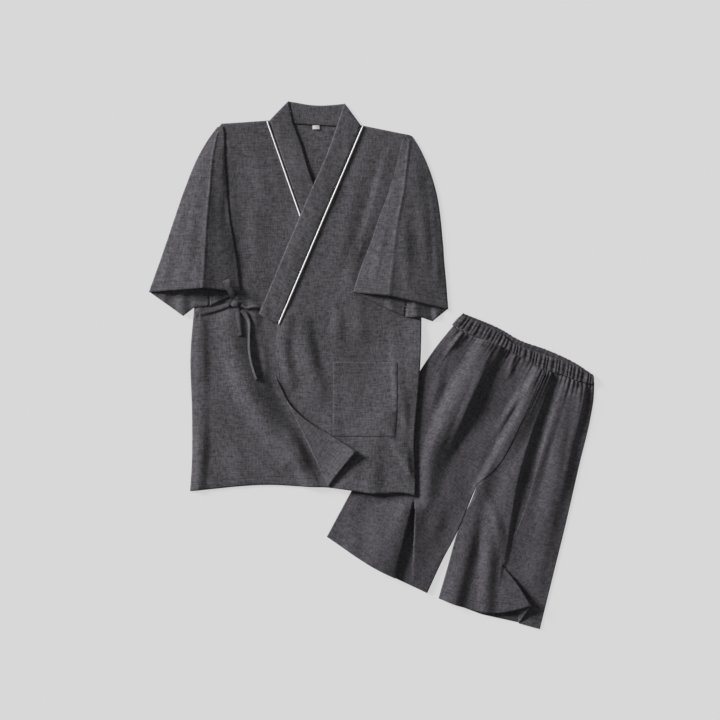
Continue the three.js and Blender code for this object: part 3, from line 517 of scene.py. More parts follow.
CHARCOAL = chambray("charcoal_chambray", (0.040, 0.038, 0.043, 1), (0.172, 0.164, 0.181, 1),
                    (0.018, 0.017, 0.020, 1))
# The shorts' chambray is a darker copy of the jacket's: painted shade that stands in for the shade of the
# shorts' deep folds.
SHADED_SHORTS_CHARCOAL = chambray("charcoal_chambray_shorts_painted_shade", (0.034, 0.032, 0.037, 1), (0.140, 0.132, 0.148, 1),
                           (0.015, 0.014, 0.017, 1))
PIPING_WHITE = white_cloth("white_piping", (0.95, 0.945, 0.94, 1), (0.88, 0.875, 0.87, 1))
LABEL_WHITE = white_cloth("white_label", (0.78, 0.77, 0.75, 1), (0.58, 0.57, 0.56, 1))


# ------------------------------------------------------------------------------------------------------
# Jacket body
# ------------------------------------------------------------------------------------------------------
def settled(plan, under, top=CLOTH, weave=None, stitch=FAR_FROM_STITCHES):
    """A sheet between its underside and its face above it."""
    return {"outer": with_height(plan, under + top), "inner": with_height(plan, under),
            "weave": plan if weave is None else weave, "stitch": stitch}


def jacket_back():
    s, t = unit_grid(150, 96)
    plan = coons(Path(SHOULDERS, breaks=(1, 2, 5)), Path(JACKET_HEM), Path(RIGHT_SIDE), Path(LEFT_SIDE),
                 s, t)
    x, y = plan[..., 0], plan[..., 1]
    over_hem = np.abs(nearest(JACKET_HEM, x, y)[0])
    neck = relief(table(FOLD_COLUMNS, [
        (-92, 498, -88, 486, -82, 474, 0.9, 1.2, 0.2, 6, 9, 1),
        (-150, 492, -140, 450, -126, 410, 0.3, 0.9, 0.3, 12, 14, 1),
    ]), x, y)
    under = back_bed(x, y)
    top = CLOTH + np.maximum(0, neck) * smoothstep(y, 380, 440)
    return show("jacket_back_cloth", [settled(plan, under, top + np.maximum(-0.2, hem_swell(over_hem)) * 0.6,
                                              stitch=over_hem - HEM_STITCHES)],
                CHARCOAL, "charcoal_chambray", "jacket_back")


def inner_front():
    neck = [(x + NECK_ALLOWANCE, y) for x, y in INNER_NECKLINE]
    s, t = unit_grid(190, 84)
    foot = INNER_FRONT_FOOT
    plan = coons(Path([SHOULDERS[0], SHOULDERS[1], neck[0]], breaks=(1,)),
                 Path([*JACKET_HEM[:4], foot]),
                 Path(RIGHT_SIDE),
                 Path([*neck[:2], (foot[0], 63), foot], breaks=(1, 2)), s, t)
    x, y = plan[..., 0], plan[..., 1]
    over_hem = np.abs(nearest([*JACKET_HEM[:4], foot], x, y)[0])
    return show("jacket_right_front_cloth",
                [settled(plan, inner_front_bed(x, y), CLOTH + hem_swell(over_hem),
                         stitch=over_hem - HEM_STITCHES)],
                CHARCOAL, "charcoal_chambray", "jacket_right_front")


def turn_frame():
    (x0, y0), (x1, y1) = TURN_LINE
    length = math.hypot(x1 - x0, y1 - y0)
    along = ((x1 - x0) / length, (y1 - y0) / length)
    return x0, y0, along[1], -along[0]


def turned(x, y, height):
    """Carries a point of the outer front over the turn line. height is its place in the cloth."""
    x0, y0, out_x, out_y = turn_frame()
    beyond = (x - x0) * out_x + (y - y0) * out_y
    travelled = np.maximum(0, beyond + TURN_RADIUS)
    angle = np.minimum(np.pi, travelled / TURN_RADIUS)
    past = np.maximum(0, travelled - np.pi * TURN_RADIUS)
    radius = TURN_RADIUS - height
    outward = np.where(travelled > 0, -TURN_RADIUS + radius * np.sin(angle) - past, beyond)
    lift = TURN_LIFT * (past / TURN_REACH) ** 1.5
    rise = np.where(travelled > 0, TURN_RADIUS - radius * np.cos(angle) + lift, height)
    over_x, over_y = x + (outward - beyond) * out_x, y + (outward - beyond) * out_y
    return np.stack([over_x, over_y, outer_front_bed(over_x, over_y) + rise], axis=-1), past


def outer_front():
    (top_x, top_y), (end_x, end_y) = OUTER_NECKLINE
    neck_top = (top_x - NECK_ALLOWANCE, top_y)
    hem = [OUTER_FRONT_EDGE[4], *JACKET_HEM[3:]]
    edge = [neck_top, (end_x - 4, end_y), *OUTER_FRONT_EDGE]
    top, bottom = Path([neck_top, SHOULDERS[6]]), Path(hem)
    left, right = Path(edge, breaks=(1,)), Path(LEFT_SIDE)
    rows = 200
    x0, y0, out_x, out_y = turn_frame()
    t = np.linspace(0, 1, rows + 1)
    edge_points, side_points = left.at(t), right.at(t)
    reach = [(p[:, 0] - x0) * out_x + (p[:, 1] - y0) * out_y for p in (edge_points, side_points)]
    crossing = reach[0] / (reach[0] - reach[1])
    width = np.linalg.norm(side_points - edge_points, axis=1)
    roll = np.pi * TURN_RADIUS * 1.25 / width
    roll_end = np.maximum(10 / width, crossing) - TURN_RADIUS / width * 0.9 + roll / 3
    roll_start = np.maximum(roll_end - roll, roll_end / 3)
    counts = (26, 14, 84)
    marks = [np.zeros(rows + 1), roll_start, roll_end, np.ones(rows + 1)]
    s = np.concatenate([marks[k][:, None] + (marks[k + 1] - marks[k])[:, None]
                        * np.linspace(0, 1, n, endpoint=False)[None, :] for k, n in enumerate(counts)]
                       + [np.ones((rows + 1, 1))], axis=1)
    t = np.broadcast_to(t[:, None], s.shape)
    plan = coons(top, bottom, left, right, s, t)
    x, y = plan[..., 0], plan[..., 1]
    over_hem = np.abs(nearest(hem, x, y)[0])
    over_edge = np.abs(nearest(OUTER_FRONT_EDGE, x, y)[0])
    hem_share = hem_swell(over_hem)
    facing = np.where(y < 80, 0.35 * (1 - smoothstep(over_edge, 10, 12.5)), 0)
    _, past = turned(x, y, CLOTH)
    flap = smoothstep(past, 0, 3)
    outer, _ = turned(x, y, CLOTH + (hem_share + facing) * (1 - flap))
    inner, _ = turned(x, y, -(hem_share + facing) * flap)
    stitch = np.minimum(np.abs(over_hem - HEM_STITCHES),
                        np.where(y < 72, np.abs(over_edge - 9.0), FAR_FROM_STITCHES))
    return show("jacket_left_front_cloth",
                [{"outer": outer, "inner": inner, "weave": plan, "stitch": stitch}],
                CHARCOAL, "charcoal_chambray", "jacket_left_front")


# ------------------------------------------------------------------------------------------------------
# Sleeves
# ------------------------------------------------------------------------------------------------------
# A sleeve is one strip of cloth whose two long edges meet at the underarm seam. Each row is a section of
# it, from the shoulder down to the cuff: the outer fold, the pressed crease, the inner fold that lies on
# the jacket, the height on the page of the back layer, and the seam. Above the underarm the seam column
# is the armhole's, where lifted is 0. Below, it is the underarm seam, up on the jacket.
SLEEVE_COLUMNS = ("outerX", "outerY", "creaseX", "creaseY", "innerX", "innerY", "backY", "seamX", "seamY",
                  "lifted", "ridge")

RIGHT_SLEEVE = table(SLEEVE_COLUMNS, [
    (-325, 499, -320, 501, -314, 502, 498, -320.0, 499, 0, 4.0),
    (-338, 482, -325, 483, -311, 487, 481, -328.6, 481, 0, 5.5),
    (-363, 441, -334, 438, -310, 440, 438, -333.0, 439, 0, 9.5),
    (-392, 372, -340, 372, -305, 372, 368, -342.0, 370, 0, 14.5),
    (-417, 300, -346, 302, -298, 302, 292, -351.4, 296, 0, 18.0),
    (-429, 264, -348, 267, -292, 267, 250, -357.0, 253, 0, 19.5),
    (-436, 244, -349, 247, -289, 247, 226, -360.5, 230, 1, 20.5),
    (-441, 229, -350, 232, -286, 232, 205, -345.0, 212, 1, 21.0),
    (-455, 190, -352, 196, -281, 193, 152, -342.0, 168, 1, 22.5),
    (-468, 153, -353, 161, -277, 153, 103, -340.0, 124, 1, 23.5),
])

LEFT_SLEEVE = table(SLEEVE_COLUMNS, [
    (84, 481, 79, 482.5, 74, 483, 480, 79.0, 481, 0, 4.0),
    (93, 468, 79, 470, 66, 472, 467, 82.6, 467, 0, 5.5),
    (110, 436, 75, 438, 57, 439, 434, 83.6, 435, 0, 8.0),
    (136, 359, 65, 359, 34, 359, 352, 88.6, 354, 0, 11.5),
    (145, 300, 54, 302, 13, 303, 290, 92.4, 292, 0, 13.5),
    (148, 267, 49, 268, 2, 269, 252, 94.8, 254, 0, 14.5),
    (150, 247, 47, 249, -5, 250, 228, 98.5, 232, 1, 15.0),
    (151, 229, 45, 232, -11, 234, 205, 82.0, 210, 1, 15.5),
    (156, 172, 41, 190, -26, 196, 147, 76.0, 156, 1, 16.5),
    (160, 117, 37, 145, -39, 152, 92, 70.0, 101, 1, 17.5),
])

# Folds of the sleeves' underneath layer, which shows below the cuffs.
CUFF_FOLDS = table(FOLD_COLUMNS, [
    (-399, 210, -398, 150, -396, 84, 1.5, 5.0, 6.0, 18, 20, 1),
    (-430, 200, -436, 160, -442, 110, 0.0, 2.4, 3.0, 14, 16, 1),
    (-330, 190, -326, 150, -322, 110, 0.0, 2.0, 2.6, 16, 16, 1),
    (84, 200, 88, 140, 92, 80, 1.0, 5.0, 7.0, 16, 12, 1),
    (124, 190, 130, 140, 138, 90, 0.0, 3.0, 4.0, 16, 12, 1),
    (30, 190, 36, 140, 44, 90, 0.0, 2.4, 3.0, 20, 14, 1),
])

SLEEVE_FOLDS = table(FOLD_COLUMNS, [
    (-352, 430, -372, 320, -384, 210, 0.2, 1.8, 1.4, 20, 16, 1),
    (-392, 350, -416, 260, -436, 180, 0.2, 1.6, 1.8, 18, 14, 1),
    (-362, 250, -366, 210, -368, 170, 0.0, 1.2, 1.4, 14, 12, 1),
    (-318, 420, -318, 330, -316, 240, 0.0, 1.0, 0.4, 14, 12, 1),
    (92, 430, 106, 320, 112, 210, 0.2, 1.8, 1.6, 20, 18, 1),
    (124, 380, 134, 280, 140, 180, 0.2, 1.6, 1.4, 14, 12, 1),
    (70, 330, 72, 250, 74, 170, 0.2, 1.2, 1.4, 14, 14, 1),
    (40, 340, 22, 260, 4, 180, 0.0, 1.2, 1.4, 12, 12, 1),
])


def side_at(points, y):
    (upper_x, upper_y), (lower_x, lower_y) = points[0], points[1]
    return upper_x + (lower_x - upper_x) * (upper_y - y) / (upper_y - lower_y)


def sleeve(name, stations, side, body_bed, node, seed):
    outward = math.copysign(1, stations[0]["outerX"] - stations[0]["innerX"])
    half = CLOTH / 2
    top = 2 * SLEEVE_ROLL

    def bed(x, y):
        return float(body_bed(np.array(x), np.array(y))) + WALL + AIR + half

    sections = []
    for row in stations:
        jacket_side = side_at(side, row["seamY"])
        lifted = bool(row["lifted"])
        seam_z = bed(row["seamX"], row["seamY"]) if lifted else half
        on_edge = lifted and outward * (row["seamX"] - jacket_side) < 0
        room = abs(row["outerX"] - row["seamX"])
        foot_x = jacket_side + outward * 3 if on_edge else row["seamX"] + outward * min(4, 0.25 * room)
        drop = SLEEVE_FOOT * 0.8 if on_edge else min(SLEEVE_FOOT * 0.3, 0.35 * room)
        foot_z = half + (0.8 * (seam_z - half) if lifted else 0)
        if on_edge:
            foot_z = bed(jacket_side, row["seamY"])
        foot_y = row["seamY"] + (row["backY"] - row["seamY"]) * 0.2
        inner_z = bed(row["innerX"], row["innerY"]) + INNER_LIFT
        inner_top = 2 * INNER_ROLL
        roll_x = outward * SLEEVE_ROLL
        front_seam_x = row["seamX"] if lifted else jacket_side
        crease_z = row["ridge"]

        def to_crease(a):
            return tuple(row[a + axis] + (row["crease" + axis] - row[a + axis]) * 0.5 for axis in "XY")

        sections.append([
            (row["seamX"], row["seamY"], seam_z),
            (foot_x, foot_y, foot_z),
            (foot_x + outward * drop, row["backY"], half),
            (row["outerX"] - roll_x, row["outerY"], half),
            (row["outerX"], row["outerY"], half + SLEEVE_ROLL),
            (row["outerX"] - roll_x, row["outerY"], half + top),
            (*to_crease("outer"), (half + top) * (1 - OUTER_BOW) + crease_z * OUTER_BOW),
            (row["creaseX"], row["creaseY"], crease_z),
            (*to_crease("inner"), (inner_z + inner_top) * 0.5 + crease_z * 0.5),
            (row["innerX"] + outward * INNER_ROLL, row["innerY"], inner_z + inner_top),
            (row["innerX"], row["innerY"], inner_z + INNER_ROLL),
            (row["innerX"] + outward * INNER_ROLL, row["innerY"], inner_z),
            (front_seam_x, row["seamY"], bed(front_seam_x, row["seamY"])),
        ])
    sections = np.array(sections, float)
    counts = [5, 8, 22, 4, 4, 16, 16, 14, 14, 4, 4, 20]
    across = []
    for section in sections:
        curve = smoothed(section, each=24, breaks=(1, 2, 3, 5, 7, 9, 11))
        picks = np.concatenate([np.linspace(24 * k, 24 * (k + 1), n, endpoint=False)
                                for k, n in enumerate(counts)] + [[24.0 * len(counts)]])
        across.append(np.stack([np.interp(picks, np.arange(len(curve)), axis) for axis in curve.T], axis=1))
    across = np.array(across)
    down = np.array([smoothed(across[:, j], breaks=(6,)) for j in range(across.shape[1])])
    middle = down.transpose(1, 0, 2)
    starts = np.cumsum([0, *counts])
    column = np.arange(middle.shape[1])
    front = (smoothstep(column, starts[5] - 1, starts[5] + 6)
             * (1 - smoothstep(column, starts[9] - 6, starts[9] + 1)))
    x, y = middle[..., 0], middle[..., 1]
    middle[..., 2] += front * (relief(SLEEVE_FOLDS, x, y) + 0.7 * ripples(x, y, seed, 55, 120))
    under = (1 - smoothstep(column, starts[2] + 12, starts[3] - 1)
             + smoothstep(column, starts[11] + 1, starts[12] - 4))
    near_cuff = smoothstep(np.arange(len(middle)), len(middle) * 0.6, len(middle) * 0.8)[:, None]
    middle[..., 2] += under * near_cuff * relief(CUFF_FOLDS, x, y)
    widths, lengths = run_lengths(middle)
    pressed = widths - widths[:, starts[7]:starts[7] + 1]
    middle[..., 2] += 1.1 * np.exp(-(pressed / 3.0) ** 2) * (np.arange(len(middle)) > 8)[:, None]
    from_cuff = lengths[-1:] - lengths
    thickness = CLOTH + np.maximum(0, hem_swell(from_cuff)) * 0.8
    outer, inner = faces_of(middle, thickness)
    weave = np.stack([pressed, y], axis=-1)
    return show(name, [{"outer": outer, "inner": inner, "weave": weave, "stitch": from_cuff - HEM_STITCHES}],
                CHARCOAL, "charcoal_chambray", node)


# ------------------------------------------------------------------------------------------------------
# Collar and piping
# ------------------------------------------------------------------------------------------------------
# Each row goes across the band: the seam's x and y, then the free edge's.
OUTER_STRETCH = [
    (-197.6, 86.7, -237.5, 107), (-184.5, 118, -226, 134), (-171.7, 148.7, -212.7, 165.9),
    (-155, 188, -196.5, 205), (-139.2, 226.3, -180.6, 243.6), (-125, 260, -166, 277.5),
    (-110.9, 293.9, -152, 311), (-96, 329, -137, 346), (-81.5, 364.1, -122, 381),
    (-69.5, 392, -108.5, 410), (-57.9, 420.5, -97, 436.8), (-44, 453, -84.5, 471),
    (-31, 484.8, -73.5, 502.5), (-24.6, 502.6, -58.6, 548.6),
]
BACK_STRETCH = [
    (-24.6, 504.8, -58.6, 548.6), (-58, 504.4, -80, 546.5), (-98, 505.8, -108, 545),
    (-138, 508.2, -136, 547), (-178, 511.4, -158, 551), (-214.2, 514.9, -174.6, 553.6),
]
INNER_STRETCH = [
    (-214.2, 512.8, -174.6, 553.6), (-208.2, 492.9, -164.4, 508), (-190.2, 440.4, -145.7, 455.7),
    (-176, 399.5, -134, 414), (-164.6, 366.3, -122, 381), (-148, 318, -105, 333),
    (-124, 248, -79, 264), (-96, 167, -50.5, 183), (-68.3, 86.6, -22.9, 102.2),
]


def collar():
    half = BAND / 2
    share = np.linspace(0, 1, 3)[None, :, None]

    def lay(stretch, bed):
        rows = np.array(stretch, float)
        plan = rows[:, None, :2] * (1 - share) + rows[:, None, 2:] * share
        return with_height(plan, bed(plan[..., 0], plan[..., 1]) + half)

    def roll(upper, lower, out_x, out_y):
        radius = (upper[:, 2] - lower[:, 2]) / 2
        middle = (upper + lower) / 2
        middle[:, 0] += out_x * radius
        middle[:, 1] += out_y * radius
        return middle[None]

    outer = lay(OUTER_STRETCH, lambda x, y: outer_front_bed(x, y) + CLOTH + 0.2)
    back = lay([(sx, sy - 3, fx, fy) for sx, sy, fx, fy in BACK_STRETCH],
               lambda x, y: np.full(x.shape, 0.9))
    inner = lay(INNER_STRETCH, lambda x, y: inner_front_bed(x, y) + CLOTH + 0.2)
    rows = np.concatenate([outer, roll(outer[-1], back[0], 0.8, 0.6), back,
                           roll(inner[0], back[-1], -0.72, 0.69), inner])
    first, last = len(outer), len(outer) + len(back) + 1
    corners = (first - 1, first, first + 1, last - 1, last, last + 1)
    long_way = np.array([smoothed(rows[:, j], each=9, breaks=corners) for j in range(3)]).transpose(1, 0, 2)
    across = np.linspace(0, 2, 15)
    lower = np.minimum(1, np.floor(across)).astype(int)
    mix = (across - lower)[None, :, None]
    middle = long_way[:, lower] * (1 - mix) + long_way[:, lower + 1] * mix
    x, y = middle[..., 0], middle[..., 1]
    edge = np.linspace(0, 1, 15)[None, :]
    puff = 0.5 * np.sin(np.pi * edge) ** 0.6
    on_top = (np.arange(len(middle)) < 9 * (first - 1)) | (np.arange(len(middle)) > 9 * (last + 1))
    wrinkles = 0.35 * ripples(x, y, 31, 26, 70)
    middle[..., 2] += np.where(on_top[:, None], puff + wrinkles, 0.3 * puff)
    widths, lengths = run_lengths(middle)
    thickness = np.broadcast_to(BAND * (0.72 + 0.28 * np.sin(np.pi * edge) ** 0.5), middle.shape[:2])
    upper, under = faces_of(middle, thickness)
    return show("jacket_collar_cloth",
                [{"outer": upper, "inner": under, "weave": np.stack([widths, lengths], axis=-1)}],
                CHARCOAL, "charcoal_chambray", "jacket_collar")


CORD_SIDES = 12


def tube(points, radius, name, material, slot, node):
    run = np.gradient(points, axis=0)
    run /= np.linalg.norm(run, axis=1, keepdims=True)
    aside = np.cross(run, [0, 0, 1.0])
    aside /= np.linalg.norm(aside, axis=1, keepdims=True)
    up = np.cross(aside, run)
    angle = np.linspace(0, 2 * np.pi, CORD_SIDES, endpoint=False)
    swell = 1 + 0.02 * np.sin(np.arange(len(points)) * 1.3)
    ends = np.minimum(1, np.minimum(np.arange(len(points)), np.arange(len(points))[::-1]) / 2 + 0.35)
    reach = radius * (swell * ends)[None, :, None]

    def skin(scale):
        return points[None] + reach * scale * (np.cos(angle)[:, None, None] * aside[None]
                                               + np.sin(angle)[:, None, None] * up[None])

    lengths = np.concatenate([[0], np.linalg.norm(np.diff(points, axis=0), axis=1).cumsum()])
    weave = np.stack(np.broadcast_arrays(angle[:, None] * radius, lengths[None, :]), axis=-1)
    return show(name, [{"outer": skin(1.0), "inner": skin(0.3), "weave": weave, "ring": True}],
                material, slot, node)


def piping(name, start, end, outward, bed, node):
    """White piping caught in the neckline seam, on the front beside the collar's edge."""
    (x0, y0), (x1, y1) = start, end
    length = math.hypot(x1 - x0, y1 - y0)
    aside = outward * (PIPING_RADIUS + SEAM) / length
    share = np.linspace(0, 1, 120)
    x = x0 + (x1 - x0) * share - aside * (y1 - y0)
    y = y0 + (y1 - y0) * share + aside * (x1 - x0)
    z = bed(x, y) + CLOTH + PIPING_RADIUS + 0.1
    return tube(np.stack([x, y, z], axis=1), PIPING_RADIUS, name, PIPING_WHITE, "white_piping", node)


# ------------------------------------------------------------------------------------------------------
# Pocket, label and ties
# ------------------------------------------------------------------------------------------------------
def pocket():
    left, right, opening, foot = -81.7, 52.7, 6.3, -149.5
    s, t = unit_grid(60, 54)
    sides = [(right, opening - 1), (right - 0.7, foot + 40), (right - 4.7, foot - 1)]
    plan = coons(Path([(left, opening), (right, opening - 1)]), Path([(left, foot), (right - 4.7, foot - 1)]),
                 Path([(left, opening), (left, foot)]), Path(sides), s, t)
    x, y = plan[..., 0], plan[..., 1]
    edges = [(left, opening), (left, foot), *sides[::-1]]
    inside = np.abs(nearest(edges, x, y)[0])
    below_opening = opening - y
    under = outer_front_bed(x, y) + CLOTH + 0.05
    hem = 0.25 * (1 - smoothstep(below_opening, 24, 27))
    sunk = -0.5 * np.exp(-((inside - 2.2) / 1.6) ** 2)
    stitch = np.minimum(np.abs(inside - 2.2), np.abs(below_opening - 24))
    puffed = 0.5 * smoothstep(inside, 4, 40) + 0.2 * ripples(x, y, 41, 50, 70)
    top = 0.5 + hem + sunk * 0.4
    under = under + np.maximum(0, puffed) * smoothstep(inside, 0, 12)
    return show("jacket_pocket_cloth", [settled(plan, under, top, weave=plan + (31, 17), stitch=stitch)],
                CHARCOAL, "charcoal_chambray", "jacket_pocket")


def label():
    left, right, top, foot = -124.5, -109.3, 503.6, 495.0
    s, t = unit_grid(8, 14)
    plan = np.stack([left + (right - left) * s, top + (foot - top) * t], axis=-1)
    curl = 0.6 * np.sin(np.pi * s) + 0.5 * t ** 2
    return show("jacket_neck_label_cloth", [settled(plan, WALL + SEAM + curl, 0.5, stitch=t * 9 - 1)],
                LABEL_WHITE, "white_label", "jacket_neck_label")


# A tie's stretch: each row is a place on its middle line, its height above the inner front, its width and
# its tilt in degrees.
SIDE_TIE = [
    (-371, 105, 1.2, TIE_WIDTH, 0), (-352, 111, 1.4, TIE_WIDTH, 4), (-326, 119, 1.8, TIE_WIDTH, -6),
    (-299.5, 127, 4.0, 8, 0),
]
TIE_LOOP = [
    (-290.5, 139.5, 4.6, 9, 0), (-294, 150, 10.2, 12, 0), (-299, 163, 12.6, 15, 0),
    (-303.5, 175, 13.9, 15, 0),
    (-304.6, 177.6, 15.5, 15, 0), (-303.0, 174, 17.1, 15, 0), (-298, 160, 16.0, 14, 0),
    (-293, 148, 13.4, 11, 0), (-290.5, 139.5, 8.0, 9, 0),
]
LOOP_HEADING = math.atan2(15, 36)
SHORT_TAIL = [
    (-284, 119.5, 3.2, 8, 0), (-281, 104, 1.6, TIE_WIDTH, 8), (-278.5, 82, 1.4, TIE_WIDTH, -6),
    (-277, 61, 1.2, TIE_WIDTH, 0),
]
FRONT_TIE = [
    (-216, 117, 2.2, 7, 0), (-233, 121, 2.6, 7, 20), (-247, 124, 3.2, 7, 30), (-262, 121.5, 4.4, 7, 20),
    (-273.5, 126, 5.4, 7, 0),
]
LONG_TAIL = [
    (-273.5, 115, 3.6, TIE_WIDTH, 0), (-264, 102, 2.6, TIE_WIDTH, 20), (-258, 86, 3.4, 8, 40),
    (-258, 60, 3.6, 7, 46), (-258, 36, 3.6, 7, 46), (-253.5, 5, 3.6, 7, 46),
    (-242, -31, 3.4, 7, 40),
]


def tie(name, rows, node, seed, heading=None):
    rows = np.array(rows, float)
    rows[:, 2] += inner_front_bed(rows[:, 0], rows[:, 1]) + WALL
    fine = smoothed(rows, each=10)
    at, width, tilt = fine[:, :3], fine[:, 3], np.radians(fine[:, 4])
    run = np.gradient(at, axis=0)
    across = np.arctan2(run[:, 1], run[:, 0]) + np.pi / 2
    if heading is not None:
        across = np.full(len(at), heading)
    reach = np.stack([np.cos(across) * np.cos(tilt), np.sin(across) * np.cos(tilt), np.sin(tilt)], axis=1)
    share = np.linspace(-0.5, 0.5, 9)
    middle = at[:, None] + reach[:, None] * (width[:, None] * share[None])[..., None]
    lengths = np.concatenate([[0], np.linalg.norm(np.diff(at, axis=0), axis=1).cumsum()])
    middle[..., 2] += 0.3 * ripples(lengths[:, None], share * TIE_WIDTH, seed, 22, 14)
    weave = np.stack(np.broadcast_arrays(share[None] * TIE_WIDTH, lengths[:, None]), axis=-1)
    edge = (0.5 - np.abs(share)) * TIE_WIDTH
    thickness = np.broadcast_to(1.1 * (0.75 + 0.25 * np.cos(np.pi * share)), middle.shape[:2])
    upper, under = faces_of(middle, thickness)
    return show(name, [{"outer": upper, "inner": under, "weave": weave,
                        "stitch": np.broadcast_to(edge - 1.4, middle.shape[:2])}],
                CHARCOAL, "charcoal_chambray", node)


def knot():
    """Two flat turns of the ties drawn tight round each other, with the ends' folds between them."""
    centre = np.array([-286.5, 128.5])
    rest = float(inner_front_bed(*centre)) + WALL
    sheets = []
    turns = table(("heading", "long", "high", "width", "shiftX", "shiftY", "lift"), [
        (205, 8.5, 3.6, 9.5, 0.0, 0.0, 4.2),
        (118, 7.6, 3.2, 8.0, 1.0, 0.5, 4.6),
        (160, 5.6, 2.6, 7.0, -0.5, 1.0, 5.2),
    ])
    for turn in turns:
        angle = np.linspace(0, 2 * np.pi, 48, endpoint=False)
        share = np.linspace(-0.5, 0.5, 9)
        head = math.radians(turn["heading"])
        run, axis = np.array([math.cos(head), math.sin(head)]), np.array([-math.sin(head), math.cos(head)])
        pinch = 1 - 0.35 * (2 * np.abs(share)) ** 2
        x = (centre[0] + turn["shiftX"] + run[0] * turn["long"] * np.cos(angle)[:, None] * pinch
             + axis[0] * turn["width"] * share[None])
        y = (centre[1] + turn["shiftY"] + run[1] * turn["long"] * np.cos(angle)[:, None] * pinch
             + axis[1] * turn["width"] * share[None])
        z = rest + turn["lift"] + turn["high"] * np.sin(angle)[:, None] * pinch + 0 * share
        middle = np.stack([x, y, z], axis=-1)
        upper, under = faces_of(middle, 1.2, ring=True)
        weave = np.stack(np.broadcast_arrays(share[None] * 10, angle[:, None] * 8), axis=-1)
        sheets.append({"outer": upper, "inner": under, "weave": weave, "ring": True})
    return show("jacket_tie_knot_cloth", sheets, CHARCOAL, "charcoal_chambray", "jacket_tie_knot")


# ------------------------------------------------------------------------------------------------------
# Shorts
# ------------------------------------------------------------------------------------------------------
FRONT_WAIST = [(169, 78), (204, 62), (251.4, 48.3), (294.2, 27.3), (325.7, 8.4), (363.5, -13.4),
               (401.3, -21.6), (436.2, -36), (465.8, -41)]
CENTRE_AT = 5
WAIST_STEP = 0.6
GATHER_PITCH = 8.6
CENTRE_SEAM = [(363.5, -13.4), (315.2, -117.6), (255.4, -222.6), (221, -250.5)]
RIGHT_INSEAM = [(172.5, -364), (150.6, -405), (116, -479)]
LEFT_INSEAM = [(216.3, -266), (183.8, -340), (159.5, -424.2), (140.5, -490)]
LEFT_LEG_OUTSIDE = [(465.8, -41), (465.6, -73), (458, -118), (437, -205), (405.5, -342), (383, -433),
                    (353, -555)]
RIGHT_LEG_HEM = [(-94.5, -361), (-6, -419), (116, -479)]
LEFT_BACK_HEM = [(140.5, -490), (231, -524), (308.5, -541), (353, -555)]

SHORTS_FOLDS = table(FOLD_COLUMNS, [
    (191, 67, 172, 46, 150, 20, 3.0, 4.4, 0.0, 14, 12, 1),
    (233, 48, 120, -190, 40, -380, 9.0, 13.0, 0.0, 54, 24, 1),
    (130, -200, 66, -330, -2, -460, 0.0, 11.0, 17.0, 90, 96, 1),
    (246, 20, 186, -120, 150, -210, 1.0, 4.0, 0.0, 10, 14, 1),
    (208, 40, 150, -90, 90, -200, 0.0, 3.6, 0.0, 12, 16, 1),
    (336, -30, 300, -80, 262, -150, 2.0, 5.0, 0.0, 12, 12, 1),
    (400, -50, 360, -180, 330, -300, 2.0, 5.0, 0.0, 16, 12, 1),
    (436, -60, 416, -200, 392, -330, 2.0, 3.4, 0.0, 20, 16, 1),
    (267, 31, 214, -66, 160, -186, 5.0, 10.0, 0.0, 12, 56, 1),
    (298, 16, 292, -4, 284, -30, 2.4, 3.6, 0.0, 10, 8, 1),
    (322, -30, 292, -86, 254, -144, 0.0, 4.0, 0.0, 16, 9, 1),
    (351, -8, 298, -122, 222, -264, 9.0, 13.0, 5.0, 42, 16, 1),
    (374, -31, 312, -210, 276, -414, 6.0, 13.0, 3.0, 12, 58, 1),
    (418, -40, 388, -229, 340, -460, 5.0, 6.5, 0.0, 40, 40, 1),
    (446, -50, 440, -100, 428, -170, 3.0, 4.4, 0.0, 12, 16, 1),
    (150, 10, 140, -40, 124, -100, 0.0, 3.6, 0.0, 18, 16, 1),
    (-30, -320, -36, -360, -50, -410, 0.0, 3.0, 3.6, 28, 30, 1),
    (214, -290, 200, -380, 172, -500, 0.0, 8.0, 8.0, 28, 44, 1),
    (252, -280, 245, -390, 238, -530, 0.0, 7.4, 5.4, 26, 24, 1),
    (232, -262, 262, -330, 270, -410, 0.0, 4.6, 0.0, 18, 14, 1),
    (156, -270, 138, -330, 118, -400, 0.0, 4.0, 0.0, 24, 30, 1),
])
# The jacket's edges that lie on the shorts, outside on the left hand.
JACKET_OVER_SHORTS = [*LEFT_SIDE[1:], *JACKET_HEM[6:1:-1]]


def gathers(plan, seed):
    """Small pleats that the elastic draws in below the waistband, each dying out at its own length."""
    across, down = run_lengths(plan)
    widths = across[:1]
    dice = np.random.default_rng(seed)
    along = widths + 3.4 * ripples(widths, 0 * widths, seed, 30, 1)
    pleat = np.cos(2 * np.pi * along / GATHER_PITCH)
    marks = np.arange(0, 500, GATHER_PITCH)
    reach = np.interp(widths[0], marks,
                      dice.uniform(9, 40, len(marks)) * dice.choice([0.7, 1, 1.7], len(marks)))
    deep = np.interp(widths[0], marks, dice.uniform(0.5, 1.35, len(marks)))
    fade = np.exp(-(down / reach[None, :]) ** 1.2) * smoothstep(down, -3, 2)
    return (2.1 * deep[None, :] * pleat + 0.8 * ripples(widths, 0 * widths, seed + 1, 17, 1)) * fade


def shorts_front_bed(x, y):
    reach = np.minimum(np.abs(nearest(RIGHT_LEG_OUTSIDE, x, y)[0]),
                       np.abs(nearest(LEFT_LEG_OUTSIDE, x, y)[0]))
    bare = smoothstep(-nearest(JACKET_OVER_SHORTS, x, y)[0], 2, 36)
    loose = SHORTS_PUFF + bare * (relief(SHORTS_FOLDS, x, y) + 0.7 * ripples(x, y, 61, 60, 110))
    return WALL + SEAM + smoothstep(reach, -6, 30) * np.maximum(0.2, loose)


